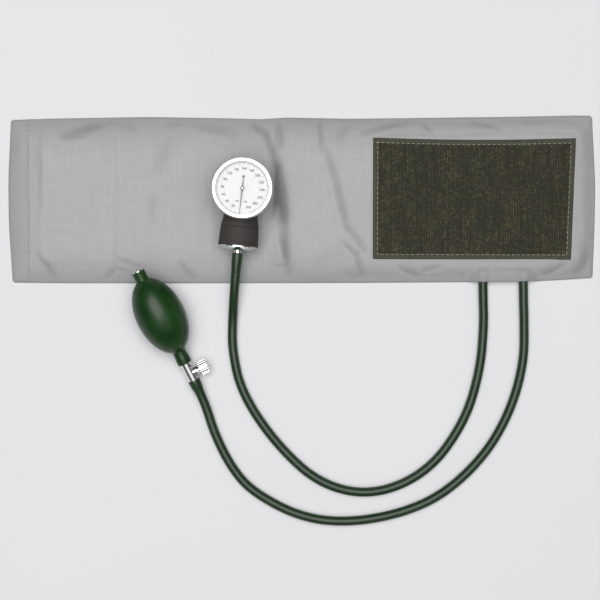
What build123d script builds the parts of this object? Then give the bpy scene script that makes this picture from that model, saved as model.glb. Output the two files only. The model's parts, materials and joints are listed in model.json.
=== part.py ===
from build123d import *
from math import acos, atan2, cos, degrees, hypot, pi, radians, sin, sqrt, tan
import os

# Aneroid sphygmomanometer, laid out flat: a cloth cuff with its air bag, a dial gauge lying
# on the cuff, a squeeze bulb with its release valve, and the two hoses that join them.
# Origin at the centre of the cuff's underside, +X along the cuff, +Z up. All in mm and degrees.

# Cuff: two layers of cloth sewn round the edge, with the air bag between them
cuff_length = 513.0
cuff_width = 142.4
cuff_end_bow = 2.6
cuff_side_bow = 2.0
cuff_corner = 3.0
cloth = 0.7
hem_width = 15.5
hem_fold = 0.5
bladder_length = 213.0
bladder_width = 118.0
bladder_thickness = 3.2
bladder_end_margin = 13.5
bladder_rounding = 1.3
bladder_corner = 12.0
cloth_slope = 6.0

# Touch fastener: the hook patch on the front and the pile patch under the tail
patch_width = 106.0
patch_thickness = 1.2
patch_corner = 2.0
hook_length = 177.0
hook_past_bladder_middle = 13.8
hook_y = -0.7
hook_turn = -0.6
pile_length = 64.6
pile_end_margin = 27.6
tail_ramp = 5.0

# Hoses, and the ports of the air bag inside the sleeve's open edge
hose_diameter = 8.0
hose_bore = 4.0
hose_push = 10.0
port_offsets = (20.7, 55.9)
port_length = 6.8
port_neck = 7.0
port_root_width = 12.0
port_root_sink = 1.2
port_root_inset = 0.2
port_bore_depth = 2.7
hump_fade = 3.6
hump_clearance = 0.3
hump_half_width = 9.5
hump_shoulder = 3.2
hump_shoulder_share = 0.82
hump_sink = 0.1
hose_straight = 22.4

# Gauge: a round case with a wide barrel below the dial, for the pressure capsule
gauge_x = -50.8
gauge_y = 7.5
gauge_turn = -5.5
case_diameter = 50.0
case_depth = 29.5
case_wall = 1.5
case_floor = 1.8
case_back_rounding = 4.0
clip_depth = 7.1
rest_gap = 0.05
neck_diameter = 30.0
neck_joint_diameter = 32.8
neck_joint = 32.5
neck_root = 4.0
neck_wall_end = 28.0
barrel_diameter = 34.5
barrel_end = 48.6
barrel_wall = 2.3
joint_spigot = 3.5
joint_spigot_wall = 1.4
joint_groove = 0.4
cap_diameter = 31.0
cap_height = 4.0
cap_edge = 1.0
cap_shoulder_radius = 11.2
cap_shoulder_height = 3.0
cap_land = 1.0
cap_spigot = 4.0
nipple_collar_diameter = 6.2
nipple_collar = 2.2
nipple_shank_diameter = 5.0
gauge_nipple_diameter = 5.3
gauge_nipple_length = 10.0
nipple_point = 0.5
nipple_point_length = 1.0
air_bore = 2.4

# Dial, glass and bezel
dial_thickness = 0.6
dial_below_rim = 1.4
dial_ledge = 1.2
dial_ledge_height = 2.0
dial_arbor_hole = 3.0
glass_thickness = 1.6
glass_above_rim = 1.4
spacer_wall = 0.6
bezel_diameter = 52.8
bezel_lip_diameter = 46.2
bezel_lip = 2.0
bezel_skirt = 3.4
bezel_rounding = 1.4
fit_gap = 0.05
pointer_length = 22.0
pointer_tail = 10.0
pointer_tail_diameter = 2.4
pointer_tail_width = 0.6
pointer_tip_width = 0.3
pointer_waist = 1.5
pointer_hub_diameter = 3.5
pointer_thickness = 0.3
pointer_hub_height = 1.4
pointer_above_dial = 0.9
pointer_rest_angle = 1.5

# Movement: two plates, a toothed sector that the capsule pushes, and a pinion on the arbor
gear_module = 0.3
pinion_teeth = 10
sector_full_teeth = 112
sector_teeth = 14
teeth_past_rest = 2
profile_shift = 0.41
pinion_addendum = 0.8
sector_addendum = 1.0
tooth_dedendum = 1.25
tooth_backlash = 0.05
tooth_foot = 0.06
pressure_angle = radians(20)
scale_sweep = 337.5
lever_length = 3.6
lever_tip_diameter = 1.6
lever_thickness = 1.6
lever_gap = 0.05
blade_rise = 2.3
blade_thickness = 1.0
blade_rim = 1.8
blade_end_pitches = 0.7
blade_window_start = 3.8
sector_hub_diameter = 3.2
pinion_face = 1.8
plate_thickness = 1.2
plate_boss = 1.8
plate_gap = 11.2
plate_screw_circle = 35.0
plate_screw_angles = (90.0, 200.0, 330.0)
plate_lobe = 6.0
plate_screw_diameter = 1.6
screw_head_diameter = 3.2
screw_head_height = 1.1
screw_slot = 0.5
screw_slot_depth = 0.55
pillar_diameter = 3.4
running_gap = 0.03
arbor_diameter = 1.2
sector_arbor_diameter = 1.6
pivot_diameter = 0.9
hairspring_turns = 4
hairspring_pitch = 0.9
hairspring_strip = 0.2
hairspring_height = 0.8
hairspring_above_plate = 1.3
collet_diameter = 2.4
stud_diameter = 1.4

# Pressure capsule and the pin that carries its movement to the sector
capsule_diameter = 26.0
capsule_thickness = 5.0
capsule_ripples = 3
ripple_depth = 0.8
capsule_centre_diameter = 7.0
capsule_stem = 1.6
capsule_stem_diameter = 3.4
pin_diameter = 2.0
pin_head_diameter = 7.0
pin_head = 0.8
guide_diameter = 4.0
guide_flange_diameter = 7.0
guide_flange = 0.8

# Spring clip on the back of the gauge
clip_width = 12.0
clip_thickness = 0.8
clip_top = 15.5
clip_mount_end = 3.0
clip_tail = 14.0
clip_lip = 5.0
clip_lip_rise = 1.7
clip_screw_y = 10.0
clip_screw_spacing = 6.0
clip_screw_diameter = 2.0
clip_screw_depth = 1.4
clip_head_diameter = 3.8
clip_head_height = 1.1

# Squeeze bulb, tilted down towards its valve
bulb_x = -122.5
bulb_y = -100.5
bulb_heading = -64.1
bulb_tilt = 11.0
bulb_half_length = 35.1
bulb_diameter = 42.0
bulb_wall = 2.3
neck_outer = 11.0
neck_bore = 6.4
neck_blend = 2.5
intake_neck_end = 42.7
valve_neck_end = 47.0
valve_neck_flare = 12.2
valve_neck_flare_start = 9.6
valve_neck_rim = 2.4
neck_edge = 0.8

# Valves: intake at the bulb's far end, outlet check and release screw at the hose end
intake_flange_diameter = 8.7
intake_flange = 1.4
intake_flange_rounding = 0.6
insert_depth = 8.0
intake_hole = 2.0
disc_diameter = 4.0
disc_thickness = 0.8
disc_travel = 1.0
disc_side_gap = 0.2
stop_gap = 0.1
seat_thickness = 1.2
retainer_slot_length = 3.5
retainer_slot_width = 1.0
valve_body_diameter = 8.8
valve_body_end = 63.5
valve_nipple_diameter = 6.5
valve_nipple_length = 8.0
valve_bore = 3.0
screw_station = 57.1
side_boss_diameter = 7.4
side_boss_reach = 6.5
side_port = 1.6
side_seat_radius = 2.4
vent_hole = 1.2
gland_diameter = 6.0
gland_thread_diameter = 5.2
gland_height = 1.5
gland_depth = 1.6
needle_diameter = 3.6
needle_tip_diameter = 1.0
needle_cone = 1.4
needle_spindle_diameter = 2.4
knob_start = 9.8
knob_height = 7.0
knob_skirt = 0.8
knob_recess_diameter = 7.4
knob_diameter = 12.6
knob_flutes = 18
knob_flute_diameter = 1.5
knob_flute_offset = 0.2
knob_chamfer = 0.6
knob_cap = 1.2

# Hose ends stretched over a nipple stand out by the hose's own wall
hose_wall = (hose_diameter - hose_bore) / 2
flare_taper = 3.0
gauge_hose_lead = 26.0
bulb_hose_lead = 21.0
bend_share = 0.45

# How far a cut or a sunk piece runs past the face that it crosses
cut_margin = 1.0

# Places along the cuff, from its ends and from the air bag in it
bladder_x = cuff_length / 2 - bladder_end_margin - bladder_length / 2
hook_x = bladder_x + hook_past_bladder_middle
pile_x = -cuff_length / 2 + pile_end_margin + pile_length / 2
port_x = [bladder_x + offset for offset in port_offsets]
port_root = -bladder_width / 2 + port_root_sink
port_end = -bladder_width / 2 - port_length
hose_in_sleeve = cloth + hose_diameter / 2

# The free stretch of each hose, point by point, where it lies on the table
gauge_hose_route = [
    (-61.2, -103.0, 5.0),
    (-62.0, -131.0, 4.0),
    (-53.8, -169.0, 4.0),
    (-24.2, -213.5, 4.0),
    (14.2, -249.4, 4.0),
    (61.0, -259.2, 4.0),
    (108.5, -238.7, 4.0),
    (140.4, -195.5, 4.0),
    (154.2, -151.0, 4.0),
    (157.9, -110.0, 4.0),
    (port_x[0], port_end - hose_straight, hose_in_sleeve),
]
bulb_hose_route = [
    (-77.6, -205.0, 4.0),
    (-62.0, -235.8, 4.0),
    (-43.6, -256.0, 4.0),
    (-3.0, -277.6, 4.0),
    (38.8, -282.6, 4.0),
    (86.9, -274.2, 4.0),
    (124.0, -256.9, 4.0),
    (159.0, -223.5, 4.0),
    (181.0, -185.0, 4.0),
    (192.6, -143.6, 4.0),
    (193.0, -108.0, 4.0),
    (port_x[1], port_end - hose_straight, hose_in_sleeve),
]

# Heights that follow from the pieces above
cuff_top = 2 * cloth
bladder_top = cloth + bladder_thickness
hook_base = bladder_top + cloth
axis_height = cuff_top + barrel_diameter / 2 + rest_gap
case_back = cuff_top + clip_depth
case_rim = case_back + case_depth
floor_top = case_back + case_floor
case_radius = case_diameter / 2
case_inner = case_radius - case_wall
dial_top = case_rim - dial_below_rim
dial_base = dial_top - dial_thickness
glass_base = case_rim + glass_above_rim
glass_top = glass_base + glass_thickness
plate_base = floor_top + plate_boss
plate_top = plate_base + plate_thickness
bridge_base = plate_top + plate_gap
bridge_top = bridge_base + plate_thickness

# Frames: the gauge seen from above, its barrel axis, and the bulb's own axis
gauge_across = Vector(cos(radians(gauge_turn)), sin(radians(gauge_turn)), 0)
gauge_up = Vector(-sin(radians(gauge_turn)), cos(radians(gauge_turn)), 0)
gauge_plane = Plane(origin=(gauge_x, gauge_y, 0), x_dir=gauge_across, z_dir=(0, 0, 1))
barrel_plane = Plane(
    origin=(gauge_x, gauge_y, axis_height), x_dir=gauge_across, z_dir=-gauge_up
)
tilt = radians(bulb_tilt)
heading = radians(bulb_heading)
bulb_radius = bulb_diameter / 2
bulb_height = hypot(bulb_half_length * sin(tilt), bulb_radius * cos(tilt))
bulb_side = Vector(-sin(heading), cos(heading), 0)
bulb_along = Vector(cos(heading) * cos(tilt), sin(heading) * cos(tilt), -sin(tilt))
bulb_plane = Plane(
    origin=(bulb_x, bulb_y, bulb_height), x_dir=bulb_side, z_dir=bulb_along
)
screw_plane = Plane(
    origin=bulb_plane.from_local_coords((0, 0, screw_station)),
    x_dir=bulb_along,
    z_dir=bulb_side,
)


def turning_plane(base):
    """Plane of a turned profile: x is the radius, y runs along the base plane's normal"""
    return Plane(
        origin=base.origin, x_dir=base.x_dir, z_dir=base.x_dir.cross(base.z_dir)
    )


def turning_axis(base):
    return Axis(base.origin, base.z_dir)


def polar(radius, angle):
    return (radius * cos(angle), radius * sin(angle))


# Cuff


def cuff_outline():
    """Flat outline of the cuff: swelling short ends and a slightly bowed lower edge"""
    half_length = cuff_length / 2 - cuff_end_bow
    half_width = cuff_width / 2
    with BuildSketch() as outline:
        with BuildLine():
            Line((-half_length, half_width), (half_length, half_width))
            ThreePointArc(
                (half_length, half_width), (cuff_length / 2, 0), (half_length, -half_width)
            )
            ThreePointArc(
                (half_length, -half_width),
                (0, -half_width - cuff_side_bow),
                (-half_length, -half_width),
            )
            ThreePointArc(
                (-half_length, -half_width), (-cuff_length / 2, 0), (-half_length, half_width)
            )
        make_face()
        fillet(outline.vertices(), cuff_corner)
    return outline.sketch


def cloth_layer(underside):
    """Long section of one layer, lifted over the pile patch, underside at a height"""
    reach = cuff_length / 2 + cut_margin
    lift_start = pile_x + pile_length / 2
    lift_end = pile_x - pile_length / 2
    with BuildSketch(Plane.XZ) as section:
        with BuildLine():
            Polyline(
                (reach, underside),
                (lift_start + tail_ramp, underside),
                (lift_start, underside + patch_thickness),
                (lift_end, underside + patch_thickness),
                (lift_end - tail_ramp, underside),
                (-reach, underside),
            )
            Line((-reach, underside), (-reach, underside + cloth))
            Polyline(
                (-reach, underside + cloth),
                (lift_end - tail_ramp, underside + cloth),
                (lift_end, underside + patch_thickness + cloth),
                (lift_start, underside + patch_thickness + cloth),
                (lift_start + tail_ramp, underside + cloth),
                (reach, underside + cloth),
            )
            Line((reach, underside + cloth), (reach, underside))
        make_face()
    return section.sketch


def sleeve_arch(x, y, base, half_width, height):
    """Section of the cloth where it goes over a hose end, facing along the hose"""
    shoulder = hump_shoulder
    shoulder_height = height * hump_shoulder_share
    with BuildSketch(Plane(origin=(x, y, base), x_dir=(1, 0, 0), z_dir=(0, -1, 0))) as arch:
        with BuildLine():
            Line((-half_width, 0), (half_width, 0))
            Line((half_width, 0), (shoulder, shoulder_height))
            ThreePointArc((shoulder, shoulder_height), (0, height), (-shoulder, shoulder_height))
            Line((-shoulder, shoulder_height), (-half_width, 0))
        make_face()
    return arch.sketch


def room_under_cloth(base):
    """What the front cloth goes over: the air bag, its two ports and the hose ends"""
    hump = hose_diameter + hump_clearance
    fade = -bladder_width / 2 + hump_fade
    outside = min(-cuff_width / 2, port_end) - cuff_side_bow - cut_margin
    with BuildPart() as room:
        with BuildSketch(Plane.XY.offset(base)):
            with Locations((bladder_x, 0)):
                RectangleRounded(
                    bladder_length + 2 * cloth_slope,
                    bladder_width + 2 * cloth_slope,
                    bladder_corner + cloth_slope,
                )
        with BuildSketch(Plane.XY.offset(base + bladder_thickness)):
            with Locations((bladder_x, 0)):
                RectangleRounded(bladder_length, bladder_width, bladder_corner)
        loft()
        for x in port_x:
            add(
                extrude(
                    sleeve_arch(x, outside, base, hump_half_width, hump),
                    amount=port_end - outside,
                    dir=(0, 1, 0),
                    mode=Mode.PRIVATE,
                )
            )
            add(
                loft(
                    [
                        sleeve_arch(x, port_end, base, hump_half_width, hump),
                        sleeve_arch(x, fade, base, hump_half_width, bladder_thickness - hump_sink),
                    ],
                    mode=Mode.PRIVATE,
                )
            )
    return room.part


def rounded_patch(x, y, turn, length, base):
    """Flat patch of touch fastener with small round corners"""
    with BuildPart() as patch:
        with BuildSketch(Plane(origin=(x, y, base), x_dir=polar(1, radians(turn)))):
            RectangleRounded(length, patch_width, patch_corner)
        extrude(amount=patch_thickness)
    return patch


room_inside = room_under_cloth(cloth)
room_outside = room_under_cloth(2 * cloth)

with BuildPart() as cuff_back:
    with BuildSketch():
        add(cuff_outline())
    extrude(amount=cuff_top + patch_thickness)
    with BuildSketch(Plane.XZ):
        add(cloth_layer(0))
    extrude(amount=cuff_width, both=True, mode=Mode.INTERSECT)

with BuildPart() as cuff_front:
    with BuildSketch(Plane.XZ):
        add(cloth_layer(cloth))
    extrude(amount=cuff_width, both=True)
    with BuildSketch(Plane.XY.offset(cuff_top)):
        with Locations((-cuff_length / 2 + hem_width / 2, 0)):
            Rectangle(hem_width, cuff_width * 2)
    extrude(amount=hem_fold)
    add(room_outside)
    add(room_inside, mode=Mode.SUBTRACT)
    with BuildSketch():
        add(cuff_outline())
    extrude(amount=hook_base + hose_diameter + hump_clearance, mode=Mode.INTERSECT)

pile_patch = rounded_patch(pile_x, 0, 0, pile_length, 0)
hook_patch = rounded_patch(hook_x, hook_y, hook_turn, hook_length, hook_base)

with BuildPart() as bladder:
    with BuildSketch(Plane.XY.offset(cloth)):
        with Locations((bladder_x, 0)):
            RectangleRounded(bladder_length, bladder_width, bladder_corner)
    extrude(amount=bladder_thickness)
    fillet(bladder.faces().sort_by(Axis.Z)[-1].edges(), bladder_rounding)
    for x in port_x:
        port_plane = Plane(origin=(x, port_end, hose_in_sleeve), x_dir=(1, 0, 0), z_dir=(0, 1, 0))
        with BuildSketch(port_plane):
            Circle(port_neck / 2)
        root_drop = hose_in_sleeve - cloth - bladder_thickness / 2
        with BuildSketch(port_plane.offset(port_root - port_end)):
            with Locations((0, root_drop)):
                Ellipse(port_root_width / 2, bladder_thickness / 2 - port_root_inset)
        loft()
        with BuildSketch(port_plane):
            Circle(hose_bore / 2)
        extrude(amount=-hose_push)
        with BuildSketch(port_plane.offset(-hose_push)):
            Circle(air_bore / 2)
        extrude(amount=hose_push + port_bore_depth, mode=Mode.SUBTRACT)

# Gauge case and barrel

screw_points = [polar(plate_screw_circle / 2, radians(a)) for a in plate_screw_angles]
case_profile_plane = turning_plane(gauge_plane)
case_axis = turning_axis(gauge_plane)
barrel_profile_plane = turning_plane(barrel_plane)
barrel_axis = turning_axis(barrel_plane)
neck_slope = (neck_joint_diameter - neck_diameter) / 2 / (neck_joint - case_radius)


def neck_radius(station):
    return neck_joint_diameter / 2 - neck_slope * (neck_joint - station)


with BuildPart() as gauge_case:
    with BuildSketch(case_profile_plane):
        with BuildLine():
            Polyline(
                (0, case_back),
                (case_radius - case_back_rounding, case_back),
            )
            ThreePointArc(
                (case_radius - case_back_rounding, case_back),
                (
                    case_radius - case_back_rounding * (1 - sin(pi / 4)),
                    case_back + case_back_rounding * (1 - sin(pi / 4)),
                ),
                (case_radius, case_back + case_back_rounding),
            )
            Polyline(
                (case_radius, case_back + case_back_rounding),
                (case_radius, case_rim),
                (0, case_rim),
                (0, case_back),
            )
        make_face()
    revolve(axis=case_axis)
    with BuildSketch(barrel_profile_plane):
        Polygon(
            (0, case_inner - neck_root),
            (neck_radius(case_inner - neck_root), case_inner - neck_root),
            (neck_joint_diameter / 2, neck_joint - joint_groove),
            (neck_joint_diameter / 2 - joint_groove, neck_joint),
            (0, neck_joint),
            align=None,
        )
    revolve(axis=barrel_axis)
    with BuildSketch(case_profile_plane):
        ledge = case_inner - dial_ledge
        Polygon(
            (0, floor_top),
            (case_inner, floor_top),
            (case_inner, dial_base - dial_ledge_height),
            (ledge, dial_base - dial_ledge_height),
            (ledge, dial_base),
            (case_inner, dial_base),
            (case_inner, case_rim + cut_margin),
            (0, case_rim + cut_margin),
            align=None,
        )
    revolve(axis=case_axis, mode=Mode.SUBTRACT)
    with BuildSketch(barrel_plane.offset(neck_wall_end)):
        Circle(neck_joint_diameter / 2 - barrel_wall)
    extrude(amount=neck_joint - neck_wall_end, mode=Mode.SUBTRACT)
    with BuildSketch(barrel_plane.offset(case_inner - cut_margin)):
        Circle(guide_diameter / 2)
    extrude(amount=neck_wall_end - case_inner + cut_margin, mode=Mode.SUBTRACT)
    with BuildSketch(gauge_plane.offset(floor_top)):
        with Locations(*screw_points):
            Circle(plate_lobe / 2)
    extrude(amount=plate_boss)
    with BuildSketch(gauge_plane.offset(plate_base)):
        with Locations(*screw_points):
            Circle(plate_screw_diameter / 2)
    extrude(amount=-plate_boss, mode=Mode.SUBTRACT)
    with BuildSketch(gauge_plane.offset(case_back)):
        with Locations((0, clip_screw_y)):
            with GridLocations(clip_screw_spacing, 0, 2, 1):
                Circle(clip_screw_diameter / 2)
    extrude(amount=clip_screw_depth, mode=Mode.SUBTRACT)

housing_bore = barrel_diameter / 2 - barrel_wall
spigot_radius = neck_joint_diameter / 2 - barrel_wall
spigot_inside = spigot_radius - joint_spigot_wall
with BuildPart() as capsule_housing:
    with BuildSketch(barrel_profile_plane):
        shoulder_end = neck_joint + barrel_wall
        Polygon(
            (spigot_inside, neck_joint - joint_spigot),
            (spigot_radius, neck_joint - joint_spigot),
            (spigot_radius, neck_joint),
            (neck_joint_diameter / 2 - joint_groove, neck_joint),
            (neck_joint_diameter / 2, neck_joint + joint_groove),
            (barrel_diameter / 2, barrel_end),
            (housing_bore, barrel_end),
            (housing_bore, shoulder_end),
            (spigot_inside, shoulder_end),
            align=None,
        )
    revolve(axis=barrel_axis)

cap_end = barrel_end + cap_height
cap_top_radius = nipple_collar_diameter / 2 + cap_land
with BuildPart() as end_cap:
    with BuildSketch(barrel_profile_plane):
        with BuildLine():
            Polyline(
                (nipple_shank_diameter / 2, cap_end),
                (nipple_shank_diameter / 2, barrel_end - cap_spigot),
                (housing_bore, barrel_end - cap_spigot),
                (housing_bore, barrel_end),
                (cap_diameter / 2, barrel_end),
                (cap_diameter / 2, barrel_end + cap_edge),
            )
            ThreePointArc(
                (cap_diameter / 2, barrel_end + cap_edge),
                (cap_shoulder_radius, barrel_end + cap_shoulder_height),
                (cap_top_radius, cap_end),
            )
            Line((cap_top_radius, cap_end), (nipple_shank_diameter / 2, cap_end))
        make_face()
    revolve(axis=barrel_axis)

collar_end = cap_end + nipple_collar
gauge_nipple_end = collar_end + gauge_nipple_length
capsule_base = barrel_end - cap_spigot - capsule_stem
with BuildPart() as gauge_nipple:
    with BuildSketch(barrel_profile_plane):
        tip = gauge_nipple_diameter / 2
        Polygon(
            (air_bore / 2, barrel_end - cap_spigot),
            (nipple_shank_diameter / 2, barrel_end - cap_spigot),
            (nipple_shank_diameter / 2, cap_end),
            (nipple_collar_diameter / 2, cap_end),
            (nipple_collar_diameter / 2, collar_end),
            (tip, collar_end),
            (tip, gauge_nipple_end - nipple_point_length),
            (tip - nipple_point, gauge_nipple_end),
            (air_bore / 2, gauge_nipple_end),
            align=None,
        )
    revolve(axis=barrel_axis)

capsule_top = capsule_base - capsule_thickness
with BuildPart() as pressure_capsule:
    ripple_pitch = (capsule_diameter - capsule_centre_diameter) / 2 / (capsule_ripples + 0.5)
    upper = [(capsule_centre_diameter / 2, capsule_top)]
    lower = [(capsule_centre_diameter / 2, capsule_base)]
    for ripple in range(2 * capsule_ripples):
        radius = capsule_centre_diameter / 2 + ripple_pitch * (ripple + 1) / 2
        depth = ripple_depth * (ripple % 2 + 1)
        upper.append((radius, capsule_top + depth))
        lower.append((radius, capsule_base - depth))
    rim = capsule_diameter / 2
    with BuildSketch(barrel_profile_plane):
        Polygon(
            (0, capsule_top),
            *upper,
            (rim, capsule_top + 2 * ripple_depth),
            (rim, capsule_base - 2 * ripple_depth),
            *reversed(lower),
            (capsule_stem_diameter / 2, capsule_base),
            (capsule_stem_diameter / 2, capsule_base + capsule_stem),
            (0, capsule_base + capsule_stem),
            align=None,
        )
    revolve(axis=barrel_axis)

# Movement

centre_distance = gear_module * (pinion_teeth + sector_full_teeth) / 2
pivot_y = -sqrt(centre_distance**2 - lever_length**2)
pivot_point = (-lever_length, pivot_y)
towards_pinion = degrees(atan2(-pivot_y, lever_length))
gear_ratio = sector_full_teeth / pinion_teeth
sector_swing = scale_sweep / gear_ratio
lever_rest_angle = radians(-sector_swing / 2)
tooth_pitch = 360 / sector_full_teeth
sector_plane = Plane(
    origin=gauge_plane.from_local_coords((*pivot_point, 0)), x_dir=gauge_across, z_dir=(0, 0, 1)
)
blade_base = axis_height + blade_rise


def involute(angle):
    return tan(angle) - angle


def gear_tooth(teeth, shift, addendum):
    """One involute tooth on +X, its root sunk a little into the wheel"""
    pitch_radius = gear_module * teeth / 2
    base_radius = pitch_radius * cos(pressure_angle)
    root = pitch_radius - gear_module * (tooth_dedendum - shift)
    tip = pitch_radius + gear_module * (addendum + shift)
    start = max(base_radius, root)
    at_pitch = (pi / 2 + 2 * shift * tan(pressure_angle)) / teeth
    at_pitch -= tooth_backlash / 2 / pitch_radius

    def half_angle(radius):
        return at_pitch + involute(pressure_angle) - involute(acos(base_radius / radius))

    flank = [start, (start + tip) / 2, tip]
    right = [polar(r, -half_angle(r)) for r in flank]
    left = [polar(r, half_angle(r)) for r in flank]
    foot = root - tooth_foot
    right_foot = polar(foot, -half_angle(start))
    left_foot = polar(foot, half_angle(start))
    with BuildSketch() as tooth:
        with BuildLine():
            Line(right_foot, right[0])
            ThreePointArc(*right)
            Line(right[2], left[2])
            ThreePointArc(*reversed(left))
            Line(left[0], left_foot)
            Line(left_foot, right_foot)
        make_face()
    return tooth.sketch, root


sector_tooth, sector_root = gear_tooth(sector_full_teeth, -profile_shift, sector_addendum)
pinion_tooth, pinion_root = gear_tooth(pinion_teeth, profile_shift, pinion_addendum)
first_tooth = towards_pinion - (sector_teeth - teeth_past_rest - 0.5) * tooth_pitch
last_tooth = first_tooth + (sector_teeth - 1) * tooth_pitch

with BuildPart() as sector_gear:
    lever_base = axis_height - lever_thickness / 2
    with BuildSketch(sector_plane.offset(lever_base)):
        Circle(sector_hub_diameter / 2)
    extrude(amount=blade_base + blade_thickness - lever_base)
    lever_tip = polar(lever_length, lever_rest_angle)
    with BuildSketch(sector_plane.offset(lever_base)):
        with BuildLine():
            CenterArc((0, 0), lever_tip_diameter / 2, 0, 360)
            CenterArc(lever_tip, lever_tip_diameter / 2, 0, 360)
        make_hull()
    extrude(amount=lever_thickness)
    with BuildSketch(sector_plane.offset(blade_base)):
        edge_angle = tooth_pitch * blade_end_pitches
        with BuildLine():
            start, end = radians(first_tooth - edge_angle), radians(last_tooth + edge_angle)
            middle = (start + end) / 2
            Line((0, 0), polar(sector_root, start))
            ThreePointArc(
                polar(sector_root, start), polar(sector_root, middle), polar(sector_root, end)
            )
            Line(polar(sector_root, end), (0, 0))
        make_face()
        with BuildLine():
            rim_inside = sector_root - blade_rim
            window = [blade_window_start, rim_inside]
            spoke = blade_rim / rim_inside
            near_spoke = blade_rim / window[0] / 2
            Line(polar(window[0], start + near_spoke), polar(window[1], start + spoke))
            ThreePointArc(
                polar(window[1], start + spoke),
                polar(window[1], middle),
                polar(window[1], end - spoke),
            )
            Line(polar(window[1], end - spoke), polar(window[0], end - near_spoke))
            ThreePointArc(
                polar(window[0], end - near_spoke),
                polar(window[0], middle),
                polar(window[0], start + near_spoke),
            )
        make_face(mode=Mode.SUBTRACT)
        sweep_angle = last_tooth - first_tooth
        with PolarLocations(0, sector_teeth, first_tooth, sweep_angle, endpoint=True):
            add(sector_tooth)
    extrude(amount=blade_thickness)
    with BuildSketch(sector_plane.offset(lever_base)):
        Circle(sector_arbor_diameter / 2)
    extrude(amount=blade_base + blade_thickness - lever_base, mode=Mode.SUBTRACT)

with BuildPart() as sector_arbor:
    with BuildSketch(sector_plane.offset(plate_top + running_gap)):
        Circle(sector_arbor_diameter / 2)
    extrude(amount=plate_gap - 2 * running_gap)
    with BuildSketch(sector_plane.offset(plate_base)):
        Circle(pivot_diameter / 2)
    extrude(amount=bridge_top - plate_base)

pointer_base = dial_top + pointer_above_dial
arbor_top = pointer_base + pointer_hub_height
pinion_base = blade_base + (blade_thickness - pinion_face) / 2
collet_base = plate_top + hairspring_above_plate
with BuildPart() as pointer_arbor:
    with BuildSketch(gauge_plane.offset(plate_base)):
        Circle(pivot_diameter / 2)
    extrude(amount=plate_thickness + 2 * running_gap)
    with BuildSketch(gauge_plane.offset(plate_top + running_gap)):
        Circle(arbor_diameter / 2)
    extrude(amount=arbor_top - plate_top - running_gap)
    with BuildSketch(gauge_plane.offset(collet_base)):
        Circle(collet_diameter / 2)
    extrude(amount=hairspring_height)
    with BuildSketch(gauge_plane.offset(pinion_base)):
        Circle(pinion_root)
        with PolarLocations(0, pinion_teeth, towards_pinion + 180):
            add(pinion_tooth)
    extrude(amount=pinion_face)


spring_start = collet_diameter / 2 + fit_gap
spring_end = spring_start + hairspring_turns * hairspring_pitch
stud_point = (spring_end + hairspring_strip / 2, stud_diameter / 2)


def movement_outline():
    """Rounded triangle that takes in the three screws and both pivots"""
    with BuildSketch() as outline:
        with BuildLine():
            for point in (*screw_points, pivot_point):
                CenterArc(point, plate_lobe / 2, 0, 360)
        make_hull()
        with Locations(*screw_points):
            Circle(plate_screw_diameter / 2 + fit_gap, mode=Mode.SUBTRACT)
        with Locations(pivot_point):
            Circle(pivot_diameter / 2 + running_gap, mode=Mode.SUBTRACT)
    return outline.sketch


with BuildPart() as movement_plate:
    with BuildSketch(gauge_plane.offset(plate_base)):
        add(movement_outline())
        Circle(pivot_diameter / 2 + running_gap, mode=Mode.SUBTRACT)
        with Locations(stud_point):
            Circle(stud_diameter / 2, mode=Mode.SUBTRACT)
    extrude(amount=plate_thickness)

with BuildPart() as movement_bridge:
    with BuildSketch(gauge_plane.offset(bridge_base)):
        add(movement_outline())
        Circle(arbor_diameter / 2 + running_gap, mode=Mode.SUBTRACT)
    extrude(amount=plate_thickness)

with BuildPart() as movement_pillars:
    with BuildSketch(gauge_plane.offset(plate_top)):
        with Locations(*screw_points):
            Circle(pillar_diameter / 2)
            Circle(plate_screw_diameter / 2 + fit_gap, mode=Mode.SUBTRACT)
    extrude(amount=plate_gap)

with BuildPart() as movement_screws:
    with BuildSketch(gauge_plane.offset(floor_top)):
        with Locations(*screw_points):
            Circle(plate_screw_diameter / 2)
    extrude(amount=bridge_top - floor_top)
    with BuildSketch(gauge_plane.offset(bridge_top)):
        with Locations(*screw_points):
            Circle(screw_head_diameter / 2)
    extrude(amount=screw_head_height)
    with BuildSketch(gauge_plane.offset(bridge_top + screw_head_height)):
        with Locations(*screw_points):
            Rectangle(screw_head_diameter, screw_slot)
    extrude(amount=-screw_slot_depth, mode=Mode.SUBTRACT)


def spring_half_turn(half_turn, offset):
    """One half turn of the spiral; the two halves of a turn have centres half a pitch apart"""
    step = hairspring_pitch / 2
    radius = spring_start + half_turn * step + offset
    CenterArc((half_turn % 2 * step, 0), radius, 180 * (half_turn % 2), 180)


with BuildPart() as hairspring:
    with BuildSketch(gauge_plane.offset(collet_base)):
        with BuildLine():
            for half_turn in range(2 * hairspring_turns):
                spring_half_turn(half_turn, 0)
                spring_half_turn(half_turn, hairspring_strip)
            Line((spring_start, 0), (spring_start + hairspring_strip, 0))
            Line((spring_end, 0), (spring_end + hairspring_strip, 0))
        make_face()
    extrude(amount=hairspring_height)

with BuildPart() as hairspring_stud:
    with BuildSketch(gauge_plane.offset(plate_base)):
        with Locations(stud_point):
            Circle(stud_diameter / 2)
    extrude(amount=collet_base + hairspring_height - plate_base)

# Pin between capsule and sector, and its guide in the case wall

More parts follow.
